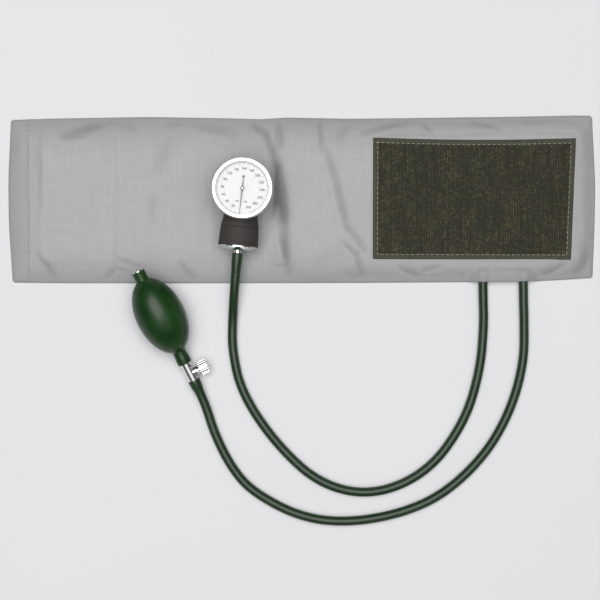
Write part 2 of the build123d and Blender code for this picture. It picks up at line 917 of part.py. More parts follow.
lever_tip_low = -(pivot_y + lever_length * sin(lever_rest_angle)) + lever_tip_diameter / 2
pin_tip = lever_tip_low + lever_gap
with BuildPart() as push_pin:
    pin_radius = pin_diameter / 2
    with BuildSketch(barrel_profile_plane):
        with BuildLine():
            RadiusArc((0, pin_tip), (pin_radius, pin_tip + pin_radius), -pin_radius)
            Polyline(
                (pin_radius, pin_tip + pin_radius),
                (pin_radius, capsule_top - pin_head),
                (pin_head_diameter / 2, capsule_top - pin_head),
                (pin_head_diameter / 2, capsule_top),
                (0, capsule_top),
                (0, pin_tip),
            )
        make_face()
    revolve(axis=barrel_axis)

with BuildPart() as pin_guide:
    with BuildSketch(barrel_plane.offset(case_inner)):
        Circle(guide_diameter / 2)
    extrude(amount=neck_wall_end - case_inner)
    with BuildSketch(barrel_plane.offset(neck_wall_end)):
        Circle(guide_flange_diameter / 2)
    extrude(amount=guide_flange)
    with BuildSketch(barrel_plane.offset(case_inner)):
        Circle(pin_diameter / 2 + running_gap)
    extrude(amount=neck_wall_end + guide_flange - case_inner, mode=Mode.SUBTRACT)

# Dial, pointer, glass and bezel

with BuildPart() as dial_plate:
    with BuildSketch(gauge_plane.offset(dial_base)):
        Circle(case_inner - fit_gap)
        Circle(dial_arbor_hole / 2, mode=Mode.SUBTRACT)
    extrude(amount=dial_thickness)

with BuildPart() as dial_spacer:
    with BuildSketch(gauge_plane.offset(dial_top)):
        Circle(case_inner - fit_gap)
        Circle(case_inner - fit_gap - spacer_wall, mode=Mode.SUBTRACT)
    extrude(amount=glass_base - dial_top)

with BuildPart() as pointer:
    pointer_plane = Plane(
        origin=gauge_plane.from_local_coords((0, 0, pointer_base)),
        x_dir=gauge_plane.x_dir.rotate(Axis.Z, -90 - pointer_rest_angle),
        z_dir=(0, 0, 1),
    )
    with BuildSketch(pointer_plane):
        Polygon(
            (-pointer_tail, -pointer_tail_width / 2),
            (0, -pointer_waist / 2),
            (pointer_length, -pointer_tip_width / 2),
            (pointer_length, pointer_tip_width / 2),
            (0, pointer_waist / 2),
            (-pointer_tail, pointer_tail_width / 2),
            align=None,
        )
        with Locations((-pointer_tail, 0)):
            Circle(pointer_tail_diameter / 2)
    extrude(amount=pointer_thickness)
    with BuildSketch(pointer_plane):
        Circle(pointer_hub_diameter / 2)
    extrude(amount=pointer_hub_height)
    with BuildSketch(pointer_plane):
        Circle(arbor_diameter / 2)
    extrude(amount=pointer_hub_height, mode=Mode.SUBTRACT)

bezel_inner = case_radius + fit_gap
with BuildPart() as lens_gasket:
    with BuildSketch(gauge_plane.offset(case_rim)):
        Circle(case_radius)
        Circle(case_inner, mode=Mode.SUBTRACT)
    extrude(amount=glass_base - case_rim)

with BuildPart() as gauge_lens:
    with BuildSketch(gauge_plane.offset(glass_base)):
        Circle(case_radius)
    extrude(amount=glass_thickness)

with BuildPart() as bezel_ring:
    outer = bezel_diameter / 2
    lip = bezel_lip_diameter / 2
    bezel_top = glass_top + bezel_lip
    with BuildSketch(case_profile_plane) as bezel_section:
        Polygon(
            (bezel_inner, case_rim - bezel_skirt),
            (outer, case_rim - bezel_skirt),
            (outer, bezel_top),
            (lip, bezel_top),
            (lip, glass_top),
            (bezel_inner, glass_top),
            align=None,
        )
        top_corners = bezel_section.vertices().sort_by(Axis.Y)[-2:].sort_by(Axis.X)
        fillet(top_corners[1], bezel_rounding)
        fillet(top_corners[0], bezel_rounding / 2)
    revolve(axis=case_axis)

# Spring clip on the back of the case, its free leg lying on the cuff

clip_side_plane = Plane(
    origin=gauge_plane.from_local_coords((0, 0, 0)), x_dir=gauge_up, z_dir=gauge_across
)
with BuildPart() as gauge_clip:
    fixed_level = case_back - clip_thickness / 2
    free_level = cuff_top + clip_thickness / 2
    with BuildSketch(clip_side_plane):
        with BuildLine():
            Line((clip_mount_end, fixed_level), (clip_top, fixed_level))
            ThreePointArc(
                (clip_top, fixed_level),
                (clip_top + (fixed_level - free_level) / 2, (fixed_level + free_level) / 2),
                (clip_top, free_level),
            )
            Line((clip_top, free_level), (-clip_tail, free_level))
            Line((-clip_tail, free_level), (-clip_tail - clip_lip, free_level + clip_lip_rise))
        trace(line_width=clip_thickness)
    extrude(amount=clip_width / 2, both=True)
    with BuildSketch(gauge_plane.offset(case_back)):
        with Locations((0, clip_screw_y)):
            with GridLocations(clip_screw_spacing, 0, 2, 1):
                Circle(clip_screw_diameter / 2 + fit_gap)
    extrude(amount=-clip_thickness, mode=Mode.SUBTRACT)

with BuildPart() as clip_screws:
    head_level = case_back - clip_thickness
    with BuildSketch(gauge_plane.offset(head_level)):
        with Locations((0, clip_screw_y)):
            with GridLocations(clip_screw_spacing, 0, 2, 1):
                Circle(clip_head_diameter / 2)
    extrude(amount=-clip_head_height)
    with BuildSketch(gauge_plane.offset(head_level)):
        with Locations((0, clip_screw_y)):
            with GridLocations(clip_screw_spacing, 0, 2, 1):
                Circle(clip_screw_diameter / 2)
    extrude(amount=clip_thickness + clip_screw_depth)

# Bulb

bulb_profile_plane = turning_plane(bulb_plane)
bulb_axis = turning_axis(bulb_plane)


def half_egg(radius, half_length):
    """Half of an ellipse on the radius side, closed along the axis"""
    with BuildSketch() as egg:
        with BuildLine():
            EllipticalCenterArc((0, 0), radius, half_length, start_angle=-90, arc_size=180)
            Line((0, half_length), (0, -half_length))
        make_face()
    return egg.sketch


with BuildPart() as bulb:
    with BuildSketch(bulb_profile_plane) as bulb_section:
        add(half_egg(bulb_radius, bulb_half_length))
        Polygon(
            (0, -intake_neck_end),
            (neck_outer / 2, -intake_neck_end),
            (neck_outer / 2, 0),
            (neck_outer / 2, valve_neck_end - valve_neck_flare_start),
            (valve_neck_flare / 2, valve_neck_end - valve_neck_rim),
            (valve_neck_flare / 2, valve_neck_end - neck_edge),
            (valve_neck_flare / 2 - neck_edge, valve_neck_end),
            (0, valve_neck_end),
            align=None,
        )
        meeting = bulb_half_length * sqrt(1 - (neck_outer / 2 / bulb_radius) ** 2)
        ends = (meeting - cut_margin, meeting + cut_margin)
        corners = bulb_section.vertices().filter_by_position(Axis.Y, -ends[1], -ends[0])
        corners += bulb_section.vertices().filter_by_position(Axis.Y, *ends)
        fillet(corners, neck_blend)
    revolve(axis=bulb_axis)
    with BuildSketch(bulb_profile_plane):
        add(half_egg(bulb_radius - bulb_wall, bulb_half_length - bulb_wall))
    revolve(axis=bulb_axis, mode=Mode.SUBTRACT)
    with BuildSketch(bulb_plane.offset(-intake_neck_end)):
        Circle(neck_bore / 2)
    extrude(amount=intake_neck_end + valve_neck_end, mode=Mode.SUBTRACT)

# Intake valve at the bulb's far end, seen along the bulb's axis

intake_inner = -intake_neck_end + insert_depth
intake_seat = -intake_neck_end + seat_thickness
chamber_radius = disc_diameter / 2 + disc_side_gap
stop_station = disc_thickness + disc_travel + stop_gap
with BuildPart() as intake_valve_body:
    with BuildSketch(bulb_plane.offset(-intake_neck_end)):
        Circle(intake_flange_diameter / 2)
    extrude(amount=-intake_flange)
    fillet(intake_valve_body.faces().sort_by(bulb_axis)[0].edges(), intake_flange_rounding)
    with BuildSketch(bulb_plane.offset(-intake_neck_end)):
        Circle(neck_bore / 2)
    extrude(amount=insert_depth)
    with BuildSketch(bulb_plane.offset(-intake_neck_end - intake_flange)):
        Circle(intake_hole / 2)
    extrude(amount=intake_flange + insert_depth, mode=Mode.SUBTRACT)
    with BuildSketch(bulb_plane.offset(intake_seat)):
        Circle(chamber_radius)
    extrude(amount=intake_inner - intake_seat, mode=Mode.SUBTRACT)

with BuildPart() as intake_disc:
    with BuildSketch(bulb_plane.offset(intake_seat)):
        Circle(disc_diameter / 2)
    extrude(amount=disc_thickness)

with BuildPart() as intake_retainer:
    with BuildSketch(bulb_plane.offset(intake_seat + stop_station)):
        Circle(chamber_radius)
        Rectangle(retainer_slot_length, retainer_slot_width, mode=Mode.SUBTRACT)
        Circle(intake_hole / 2, mode=Mode.SUBTRACT)
    extrude(amount=seat_thickness)

# Release valve: plated body between bulb and hose, with a screw on its side

outlet_seat = valve_neck_end - insert_depth
outlet_chamber_end = outlet_seat + seat_thickness + stop_station
with BuildPart() as release_valve_body:
    with BuildSketch(bulb_plane.offset(outlet_seat)):
        Circle(neck_bore / 2)
    extrude(amount=insert_depth)
    with BuildSketch(bulb_plane.offset(valve_neck_end)):
        Circle(valve_body_diameter / 2)
    extrude(amount=valve_body_end - valve_neck_end)
    with BuildSketch(bulb_plane.offset(valve_body_end)):
        Circle(valve_nipple_diameter / 2)
    extrude(amount=valve_nipple_length)
    with BuildSketch(screw_plane):
        Circle(side_boss_diameter / 2)
    extrude(amount=side_boss_reach)
    with BuildSketch(bulb_plane.offset(outlet_seat)):
        Circle(valve_bore / 2)
    extrude(amount=valve_body_end + valve_nipple_length - outlet_seat, mode=Mode.SUBTRACT)
    with BuildSketch(bulb_plane.offset(outlet_seat)):
        Circle(chamber_radius)
    extrude(amount=outlet_chamber_end - outlet_seat, mode=Mode.SUBTRACT)
    with BuildSketch(screw_plane):
        Circle(side_port / 2)
    extrude(amount=side_boss_reach, mode=Mode.SUBTRACT)
    with BuildSketch(screw_plane.offset(side_seat_radius)):
        Circle(needle_diameter / 2 + running_gap)
    extrude(amount=side_boss_reach - side_seat_radius, mode=Mode.SUBTRACT)
    with BuildSketch(screw_plane.offset(side_boss_reach - gland_depth)):
        Circle(gland_thread_diameter / 2)
    extrude(amount=gland_depth, mode=Mode.SUBTRACT)

with BuildPart() as outlet_valve_seat:
    with BuildSketch(bulb_plane.offset(outlet_seat)):
        Circle(chamber_radius)
        Circle(intake_hole / 2, mode=Mode.SUBTRACT)
    extrude(amount=seat_thickness)

with BuildPart() as outlet_disc:
    with BuildSketch(bulb_plane.offset(outlet_seat + seat_thickness)):
        Circle(disc_diameter / 2)
    extrude(amount=disc_thickness)

with BuildPart() as needle_gland:
    with BuildSketch(screw_plane.offset(side_boss_reach - gland_depth)):
        Circle(gland_thread_diameter / 2)
    extrude(amount=gland_depth)
    with BuildSketch(screw_plane.offset(side_boss_reach)):
        RegularPolygon(gland_diameter / 2, 6)
    extrude(amount=gland_height)
    with BuildSketch(screw_plane.offset(side_boss_reach - gland_depth)):
        Circle(needle_diameter / 2 + running_gap)
    extrude(amount=gland_depth + gland_height, mode=Mode.SUBTRACT)

knob_end = knob_start + knob_height
spindle_end = knob_end - knob_cap
screw_profile_plane = turning_plane(screw_plane)
screw_axis = turning_axis(screw_plane)
with BuildPart() as valve_needle:
    tip_start = side_seat_radius - needle_cone / 2
    with BuildSketch(screw_profile_plane):
        Polygon(
            (0, tip_start),
            (needle_tip_diameter / 2, tip_start),
            (side_port / 2, side_seat_radius),
            (needle_diameter / 2, side_seat_radius + needle_cone),
            (needle_diameter / 2, knob_start),
            (needle_spindle_diameter / 2, knob_start),
            (needle_spindle_diameter / 2, spindle_end),
            (0, spindle_end),
            align=None,
        )
    revolve(axis=screw_axis)

with BuildPart() as valve_knob:
    with BuildSketch(screw_plane.offset(knob_start - knob_skirt)):
        Circle(knob_diameter / 2)
    extrude(amount=knob_skirt + knob_height)
    chamfer(valve_knob.edges().filter_by(GeomType.CIRCLE), knob_chamfer)
    with BuildSketch(screw_plane.offset(knob_start - knob_skirt)):
        with PolarLocations(knob_diameter / 2 + knob_flute_offset, knob_flutes):
            Circle(knob_flute_diameter / 2)
    extrude(amount=knob_skirt + knob_height, mode=Mode.SUBTRACT)
    with BuildSketch(screw_plane.offset(knob_start - knob_skirt)):
        Circle(knob_recess_diameter / 2)
    extrude(amount=knob_skirt + running_gap, mode=Mode.SUBTRACT)
    with BuildSketch(screw_plane.offset(knob_start)):
        Circle(needle_spindle_diameter / 2 + running_gap)
    extrude(amount=spindle_end - knob_start + running_gap, mode=Mode.SUBTRACT)

# Hoses


def corner_radii(route):
    """Every bend is as large as its two runs allow"""
    radii = []
    for before, corner, after in zip(route, route[1:], route[2:]):
        arriving = Vector(corner) - Vector(before)
        leaving = Vector(after) - Vector(corner)
        half_turn = radians(arriving.get_angle(leaving) / 2)
        radii.append(bend_share * min(arriving.length, leaving.length) / tan(half_turn))
    return radii


def hose_tube(start_plane, lead, route, port, nipple_diameter, nipple_length):
    """One hose: its end stretched over a nipple, then its route to a port of the air bag"""
    flare_end = nipple_length + flare_taper
    lead_end = start_plane.from_local_coords((0, 0, lead))
    points = [start_plane.origin, lead_end, *route, (port, port_end, hose_in_sleeve)]
    radii = corner_radii(points)
    tube_plane = start_plane.offset(flare_end)
    stretched = nipple_diameter / 2
    with BuildPart() as hose:
        with BuildLine() as route_line:
            FilletPolyline(tube_plane.origin, *points[1:], radius=radii)
        with BuildSketch(tube_plane):
            Circle(hose_diameter / 2)
            Circle(hose_bore / 2, mode=Mode.SUBTRACT)
        sweep()
        length = route_line.wires()[0].length
        section = pi * (hose_diameter**2 - hose_bore**2) / 4
        filled = hose.part.volume / (section * length)
        with BuildSketch(turning_plane(start_plane)):
            Polygon(
                (stretched, 0),
                (stretched + hose_wall, 0),
                (stretched + hose_wall, nipple_length),
                (hose_diameter / 2, flare_end),
                (hose_bore / 2, flare_end),
                (hose_bore / 2, nipple_length),
                (stretched, nipple_length),
                align=None,
            )
        revolve(axis=turning_axis(start_plane))
    print(f"hose {length + flare_end:.1f} mm long, volume over section times length {filled:.4f}")
    print("bend radii", [round(radius) for radius in radii])
    return hose


gauge_hose = hose_tube(
    barrel_plane.offset(collar_end),
    gauge_hose_lead,
    gauge_hose_route,
    port_x[0],
    gauge_nipple_diameter,
    gauge_nipple_length,
)
bulb_hose = hose_tube(
    bulb_plane.offset(valve_body_end),
    bulb_hose_lead,
    bulb_hose_route,
    port_x[1],
    valve_nipple_diameter,
    valve_nipple_length,
)

# One file for each piece, named as the piece is

pieces = {
    "cuff_back": cuff_back,
    "cuff_front": cuff_front,
    "bladder": bladder,
    "hook_patch": hook_patch,
    "pile_patch": pile_patch,
    "gauge_case": gauge_case,
    "capsule_housing": capsule_housing,
    "end_cap": end_cap,
    "gauge_nipple": gauge_nipple,
    "pressure_capsule": pressure_capsule,
    "push_pin": push_pin,
    "pin_guide": pin_guide,
    "movement_plate": movement_plate,
    "movement_bridge": movement_bridge,
    "movement_pillars": movement_pillars,
    "movement_screws": movement_screws,
    "sector_gear": sector_gear,
    "sector_arbor": sector_arbor,
    "pointer_arbor": pointer_arbor,
    "hairspring": hairspring,
    "hairspring_stud": hairspring_stud,
    "dial_plate": dial_plate,
    "dial_spacer": dial_spacer,
    "pointer": pointer,
    "lens_gasket": lens_gasket,
    "gauge_lens": gauge_lens,
    "bezel_ring": bezel_ring,
    "gauge_clip": gauge_clip,
    "clip_screws": clip_screws,
    "bulb": bulb,
    "intake_valve_body": intake_valve_body,
    "intake_disc": intake_disc,
    "intake_retainer": intake_retainer,
    "release_valve_body": release_valve_body,
    "outlet_valve_seat": outlet_valve_seat,
    "outlet_disc": outlet_disc,
    "needle_gland": needle_gland,
    "valve_needle": valve_needle,
    "valve_knob": valve_knob,
    "gauge_hose": gauge_hose,
    "bulb_hose": bulb_hose,
}
os.makedirs("parts", exist_ok=True)
for name, piece in pieces.items():
    piece.part.label = name
    export_step(piece.part, f"parts/{name}.step")
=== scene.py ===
import json
from math import cos, pi, radians, sin

import bmesh
import bpy
import numpy as np
from mathutils import Matrix, Vector
from mathutils.bvhtree import BVHTree


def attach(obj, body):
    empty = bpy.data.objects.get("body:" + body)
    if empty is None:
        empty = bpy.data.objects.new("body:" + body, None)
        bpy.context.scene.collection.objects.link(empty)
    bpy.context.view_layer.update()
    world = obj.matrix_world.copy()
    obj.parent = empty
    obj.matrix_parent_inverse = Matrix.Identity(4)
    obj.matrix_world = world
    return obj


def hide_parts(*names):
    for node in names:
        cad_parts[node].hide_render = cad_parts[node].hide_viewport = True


# Aneroid sphygmomanometer laid out on a table: a cloth cuff with its dial gauge, a rubber bulb
# with its release valve, and the two rubber hoses. In metres and radians, in the frame's axes:
# +X along the cuff, +Y away from the hoses, +Z up from the table.

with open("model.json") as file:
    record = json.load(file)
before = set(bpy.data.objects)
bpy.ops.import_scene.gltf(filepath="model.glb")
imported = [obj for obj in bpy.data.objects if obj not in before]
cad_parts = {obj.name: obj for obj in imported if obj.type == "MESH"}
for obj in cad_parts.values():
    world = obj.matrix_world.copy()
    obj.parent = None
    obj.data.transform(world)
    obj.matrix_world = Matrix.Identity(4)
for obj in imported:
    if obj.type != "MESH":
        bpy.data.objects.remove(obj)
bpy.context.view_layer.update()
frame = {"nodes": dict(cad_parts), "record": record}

# Camera. The set is photographed from straight above with a long lens, so that the cuff's
# edges stay straight and the dial faces the viewer. It is turned by the photograph's own
# small angle, and stands over the middle of the picture.

camera_place = (-0.00239, -0.08792, 1.350)
camera_turn = radians(-0.42)
lens_length = 92.6


def new_object(name, data):
    """Adds an object made of the data given to the scene"""
    made = bpy.data.objects.new(name, data)
    bpy.context.collection.objects.link(made)
    return made


camera = new_object("camera", bpy.data.cameras.new("camera"))
camera.location = camera_place
camera.rotation_euler = (0, 0, camera_turn)
camera.data.lens = lens_length
camera.data.sensor_width = 36
bpy.context.scene.camera = camera

# Hoses. Both are plain extruded rubber tube, green right through, 8 mm outside and 4 mm inside,
# with a satin skin. Each lies loose on the table and goes into the cuff's open edge, where its
# end is pushed over a port of the air bag.

hose_radius = 0.004
rubber_green = (0.006, 0.027, 0.006)
rubber_worn = (0.012, 0.038, 0.012)
gauge_hose_route = [
    (-0.056052, -0.047048, 0.0187),
    (-0.058544, -0.072928, 0.0187),
    (-0.0612, -0.1030, 0.0050),
    (-0.0620, -0.1310, 0.0040),
    (-0.0538, -0.1690, 0.0040),
    (-0.0242, -0.2135, 0.0040),
    (0.0142, -0.2494, 0.0040),
    (0.0610, -0.2592, 0.0040),
    (0.1085, -0.2387, 0.0040),
    (0.1404, -0.1955, 0.0040),
    (0.1542, -0.1510, 0.0040),
    (0.1579, -0.1100, 0.0040),
    (0.1572, -0.0882, 0.0047),
    (0.1572, -0.0658, 0.0047),
]
bulb_hose_route = [
    (-0.095273, -0.156573, 0.009558),
    (-0.086268, -0.175117, 0.005551),
    (-0.0776, -0.2050, 0.0040),
    (-0.0620, -0.2358, 0.0040),
    (-0.0436, -0.2560, 0.0040),
    (-0.0030, -0.2776, 0.0040),
    (0.0388, -0.2826, 0.0040),
    (0.0869, -0.2742, 0.0040),
    (0.1240, -0.2569, 0.0040),
    (0.1590, -0.2235, 0.0040),
    (0.1810, -0.1850, 0.0040),
    (0.1926, -0.1436, 0.0040),
    (0.1930, -0.1080, 0.0040),
    (0.1924, -0.0882, 0.0047),
    (0.1924, -0.0658, 0.0047),
]


def fill(tree, node, inputs):
    """Sets or links a node's inputs, given by name or number"""
    for key, value in inputs.items():
        if isinstance(value, bpy.types.NodeSocket):
            tree.links.new(value, node.inputs[key])
        else:
            node.inputs[key].default_value = value


def add_node(tree, kind, inputs=None, **settings):
    """Adds one node, sets its options, and fills its inputs"""
    made = tree.nodes.new(kind)
    for name, value in settings.items():
        setattr(made, name, value)
    fill(tree, made, inputs or {})
    return made


def start_material(name):
    """A material with a Principled surface, and a place on the piece to hang patterns on"""
    material = bpy.data.materials.new(name)
    material.use_nodes = True
    tree = material.node_tree
    tree.nodes.clear()
    surface = add_node(tree, "ShaderNodeBsdfPrincipled")
    add_node(tree, "ShaderNodeOutputMaterial", {"Surface": surface.outputs[0]})
    place = add_node(tree, "ShaderNodeTexCoord").outputs["Object"]
    return material, tree, surface, place


def noise(tree, place, scale, detail=3.0, roughness=0.5):
    """Cloudy pattern from 0 to 1; scale is cycles in a metre"""
    inputs = {"Vector": place, "Scale": scale, "Detail": detail, "Roughness": roughness}
    return add_node(tree, "ShaderNodeTexNoise", inputs).outputs["Fac"]


def ramp(tree, value, *stops):
    """Colour ramp of (position, colour) stops; a plain number gives a grey"""
    made = add_node(tree, "ShaderNodeValToRGB", {"Fac": value})
    elements = made.color_ramp.elements
    elements[0].position = stops[0][0]
    elements[1].position = stops[-1][0]
    for position, colour in stops[1:-1]:
        elements.new(position)
    for element, (position, colour) in zip(elements, stops):
        rgb = colour if isinstance(colour, tuple) else (colour, colour, colour)
        element.color = (*rgb, 1)
    return made.outputs["Color"]


def bump(tree, height, distance, strength=1.0, under=None):
    """Fine relief, distance metres deep, over another relief where one is given"""
    inputs = {"Height": height, "Distance": distance, "Strength": strength}
    if under is not None:
        inputs["Normal"] = under
    return add_node(tree, "ShaderNodeBump", inputs).outputs["Normal"]


def rubber(name, colour, worn, roughness, dust_scale=90.0, shine=0.5):
    """Moulded or extruded rubber: satin skin, a little bloom, dust and fine flow marks"""
    material, tree, surface, place = start_material(name)
    bloom = noise(tree, place, dust_scale, 4.0, 0.6)
    speck = noise(tree, place, 2600.0, 2.0)
    flow = bump(tree, noise(tree, place, 340.0, 3.0), 0.00025, 0.25)
    looks = {
        "Base Color": ramp(tree, bloom, (0.35, colour), (0.75, worn)),
        "Roughness": ramp(tree, speck, (0.3, roughness - 0.06), (0.8, roughness + 0.08)),
        "Specular IOR Level": shine,
        "Normal": bump(tree, speck, 0.00004, 0.35, flow),
    }
    fill(tree, surface, looks)
    return material


green_rubber = rubber("green_rubber", rubber_green, rubber_worn, 0.38)


def flat_curve(name, points, smooth):
    """Curve of one open line: a smooth spline guided by its points, or straight runs"""
    curve = bpy.data.curves.new(name, "CURVE")
    curve.dimensions = "3D"
    spline = curve.splines.new("NURBS" if smooth else "POLY")
    spline.points.add(len(points) - 1)
    for point, place in zip(spline.points, points):
        point.co = (*place, 1)
    if smooth:
        spline.order_u = 3
        spline.use_endpoint_u = True
        spline.resolution_u = 16
    return new_object(name, curve)


def line_points(piece):
    """The points that a curve's own line runs through, read before it is given a thickness"""
    line = bpy.data.meshes.new_from_object(piece)
    points = [vertex.co.copy() for vertex in line.vertices]
    bpy.data.meshes.remove(line)
    return points


def mesh_piece(name, points, faces, smooth=True):
    """New piece from points and faces, with its faces pointing outwards"""
    mesh = bpy.data.meshes.new(name)
    mesh.from_pydata([tuple(point) for point in points], [], faces)
    shape = bmesh.new()
    shape.from_mesh(mesh)
    bmesh.ops.remove_doubles(shape, verts=shape.verts, dist=1e-6)
    bmesh.ops.recalc_face_normals(shape, faces=shape.faces)
    shape.to_mesh(mesh)
    shape.free()
    if smooth:
        mesh.shade_smooth()
    return new_object(name, mesh)


def ring_faces(rings, around, closed_along=False):
    """Faces between rings of points; the last ring can join the first"""
    faces = []
    for ring in range(rings if closed_along else rings - 1):
        start = ring * around
        following = (ring + 1) % rings * around
        for step in range(around):
            beside = (step + 1) % around
            faces.append((start + step, start + beside, following + beside, following + step))
    return faces


stretch_sides = 48
stretch_lip = 0.0004
stretch_taper = 0.003


def stretched_end(name, line, nipple_length, stretched_radius):
    """The hose's end where it is stretched over a nipple, as rings along the hose's own line"""
    travelled = 0.0
    stations = [(0.0, line[0])]
    for before, after in zip(line, line[1:]):
        travelled += (after - before).length
        stations.append((travelled, after))
    ends = [
        (0.0, stretched_radius - 0.0015),
        (0.0, stretched_radius - stretch_lip),
        (stretch_lip, stretched_radius),
        (nipple_length * 0.3, stretched_radius * 0.985),
        (nipple_length * 0.6, stretched_radius * 0.85 + hose_radius * 0.15),
        (nipple_length, stretched_radius * 0.60 + hose_radius * 0.40),
        (nipple_length + stretch_taper * 0.6, stretched_radius * 0.25 + hose_radius * 0.75),
        (nipple_length + stretch_taper * 1.3, hose_radius * 1.04),
        (nipple_length + stretch_taper * 2.1, hose_radius * 1.005),
        (nipple_length + stretch_taper * 2.5, hose_radius * 0.97),
    ]
    distances = [distance for distance, place in stations]
    places = np.array([tuple(place) for distance, place in stations])
    points = []
    for station, radius in ends:
        centre = Vector([np.interp(station, distances, places[:, axis]) for axis in range(3)])
        ahead = Vector([np.interp(station + 0.001, distances, places[:, a]) for a in range(3)])
        along = (ahead - centre).normalized()
        side = along.cross(Vector((0, 0, 1))).normalized()
        rise = side.cross(along)
        for step in range(stretch_sides):
            angle = 2 * pi * step / stretch_sides
            points.append(centre + radius * (cos(angle) * side + sin(angle) * rise))
    return mesh_piece(name, points, ring_faces(len(ends), stretch_sides, closed_along=True))


def lay_hose(name, route, nipple_length, stretched_radius):
    """One hose with its stretched end, from the object back into the cuff, in place of the frame's
    own hose
    """
    hose = flat_curve(name, route, smooth=True)
    end = stretched_end(name + "_end", line_points(hose), nipple_length, stretched_radius)
    hose.data.bevel_depth = hose_radius
    hose.data.bevel_resolution = 8
    hose.data.use_fill_caps = True
    for piece in (hose, end):
        piece.data.materials.append(green_rubber)
        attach(piece, "root")
    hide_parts(name)


lay_hose("gauge_hose", gauge_hose_route, nipple_length=0.010, stretched_radius=0.00465)
lay_hose("bulb_hose", bulb_hose_route, nipple_length=0.008, stretched_radius=0.00525)

# Cuff. Two layers of plain woven nylon sewn round the edge and turned out like a pillow case,
# with the air bag lying loose in the right half. It lies flat, a little creased, with a hem
# folded over at its tail and the two hoses going in through a gap in its lower seam.

millimetre = 0.001
cloth = 0.7
cuff_length = 513
cuff_width = 143
side_reach = 71
cuff_corner = 1.8
grid_step = 1.5
bag_middle = 136.5
bag_length = 213.0
bag_width = 118.0
bag_corner = 12.0
bag_height = 3.2
bag_slope = 11.0
slack_place = (17.0, 52.0, 116.0, 14.0)
slack_height = 2.9
slack_slope = 17.0
hook_middle = (150.3, -0.7)
hook_size = (177.0, 106.0)
loop_middle = (-196.6, 0.0)
loop_size = (64.6, 106.0)
patch_corner = 2.0
patch_thickness = 1.2
hem_fold = 0.5
hem_end = -238.6
hem_corner = (-236.0, -55.0)
gauge_middle = (-50.8, 7.5)
barrel_reach = (-4.7, -50.0)
hose_places = (157.2, 192.4)
hump_height = 8.3
hump_half_width = 6.2
hump_end = -67.0
bridge_height = 6.4
sleeve_middle = 175.0
sleeve_half = 28
seam_height = 0.45
seam_width = 1.7
seam_step = 0.08
ply_gap = 0.02
thinnest = 0.03
cloth_grey = (0.462, 0.466, 0.464)
cloth_shade = (0.428, 0.432, 0.431)
border_tone = 0.46
border_reach = 38.0
hem_tone = 0.25
dark_tone = 0.40
crease_depth = 1.8
# Crease depth in millimetres at which the painted shade in the cuff's creases is darkest
fully_shaded_crease_depth = 4.2
top_edge = [(-254, 71.3), (-220, 72.2), (-133, 73.0), (-60, 71.2), (-33, 70.2), (-15, 71.7),
            (42, 70.1), (131, 70.6), (181, 70.8), (243, 71.6), (256, 70.9)]
lower_edge = [(-254, -70.8), (-216, -71.6), (-100, -72.6), (42, -73.3), (147, -73.4),
              (201, -73.1), (225, -72.2), (256, -70.4)]
left_edge = [(-71, -253.4), (-20, -256.4), (20, -256.6), (71, -253.8)]
right_edge = [(-71, 253.4), (-30, 255.4), (10, 256.5), (71, 254.0)]

# Folds, each from end to end in millimetres, with its width and its height, down where negative
folds = [
    ((-212, 55), (-163, 69.5), 4.5, -1.3),
    ((-229, -15), (-228.5, 62), 2, -0.6),
    ((-233, -44), (-213, -69.5), 2.6, -1.1),
    ((-170, 71), (-140, 60), 4, -0.6),
    ((-114, 54), (-129, 22), 7, -0.45),
    ((-96, 66.5), (-54, 56), 5, -0.7),
    ((-122, 66), (-92, 69.5), 4, -0.6),
    ((-48, 71), (-28.5, 53), 3.5, -1.3),
    ((-31, 62), (-21, 24), 3.5, -1.6),
    ((-24, 36), (-15, -22), 4.5, -1.4),
    ((-27.5, 34), (-22, -26), 7, -1.3),
    ((-24, 8), (-18, -66), 9, -0.6),
    ((-17, -2), (-12.5, -73), 3.5, -0.8),
    ((-20.5, 33), (-25, -18), 1.8, -1.2),
    ((-19, -30), (-14, -56), 2.2, -0.9),
    ((-23, -20), (-29, -44), 2.5, 0.8),
    ((-20.5, 74), (-19.5, 44), 3.5, -1),
    ((-20, -6), (-40, -58), 4, 0.7),
    ((-27, -58.2), (-13, -57), 1.6, -0.6),
    ((-131, 8), (-130, -22), 4, -0.4),
    ((-161, -50.5), (-141, -58.5), 2.2, -0.8),
    ((-174, -69.5), (-160.5, -57), 2.2, -0.9),
    ((-163, -57.5), (-150, -63.5), 2, -0.7),
    ((-109, -52), (-93.5, -71), 3, -0.9),
    ((15, 75), (18.5, 38), 2, -1),
    ((41, 67), (30, 47), 4, -0.6),
    ((21, 46), (33, 4), 3, -0.9),
    ((30, 14), (40, -30), 3, -1.1),
    ((37.5, -22), (56.5, -47), 3, -1),
    ((33, -35.5), (49.5, -50), 2.2, -1.1),
    ((46, -44), (54, -73), 3, -0.9),
    ((6, -49.5), (35, -36), 4, 0.6),
    ((50, 55.5), (102, 69.5), 3, -1.1),
    ((104, 67), (114, 57), 2.5, -0.9),
    ((146, 66), (176, 59.5), 2.5, -1.1),
    ((190, 65.5), (226, 68.5), 2.4, -0.9),
    ((82, -58.5), (104, -69.5), 2.5, -1.1),
    ((104, -63), (122, -58.5), 2.5, -0.9),
    ((205, -70.5), (232, -55), 3, -1.2),
    ((236, -73), (252, -40), 6, -1.1),
]


def swell(distance, reach):
    """Smooth fall from 1 at no distance to 0 at the reach"""
    share = np.clip(distance / reach, 0, 1)
    return 1 - share * share * (3 - 2 * share)


def outside(x, y, middle, length, width, corner):
    """Distance outside a rectangle with round corners, centred on the cuff's long middle line"""
    past_x = np.maximum(abs(x - middle) - length / 2 + corner, 0)
    past_y = np.maximum(abs(y) - width / 2 + corner, 0)
    return np.hypot(past_x, past_y) - corner


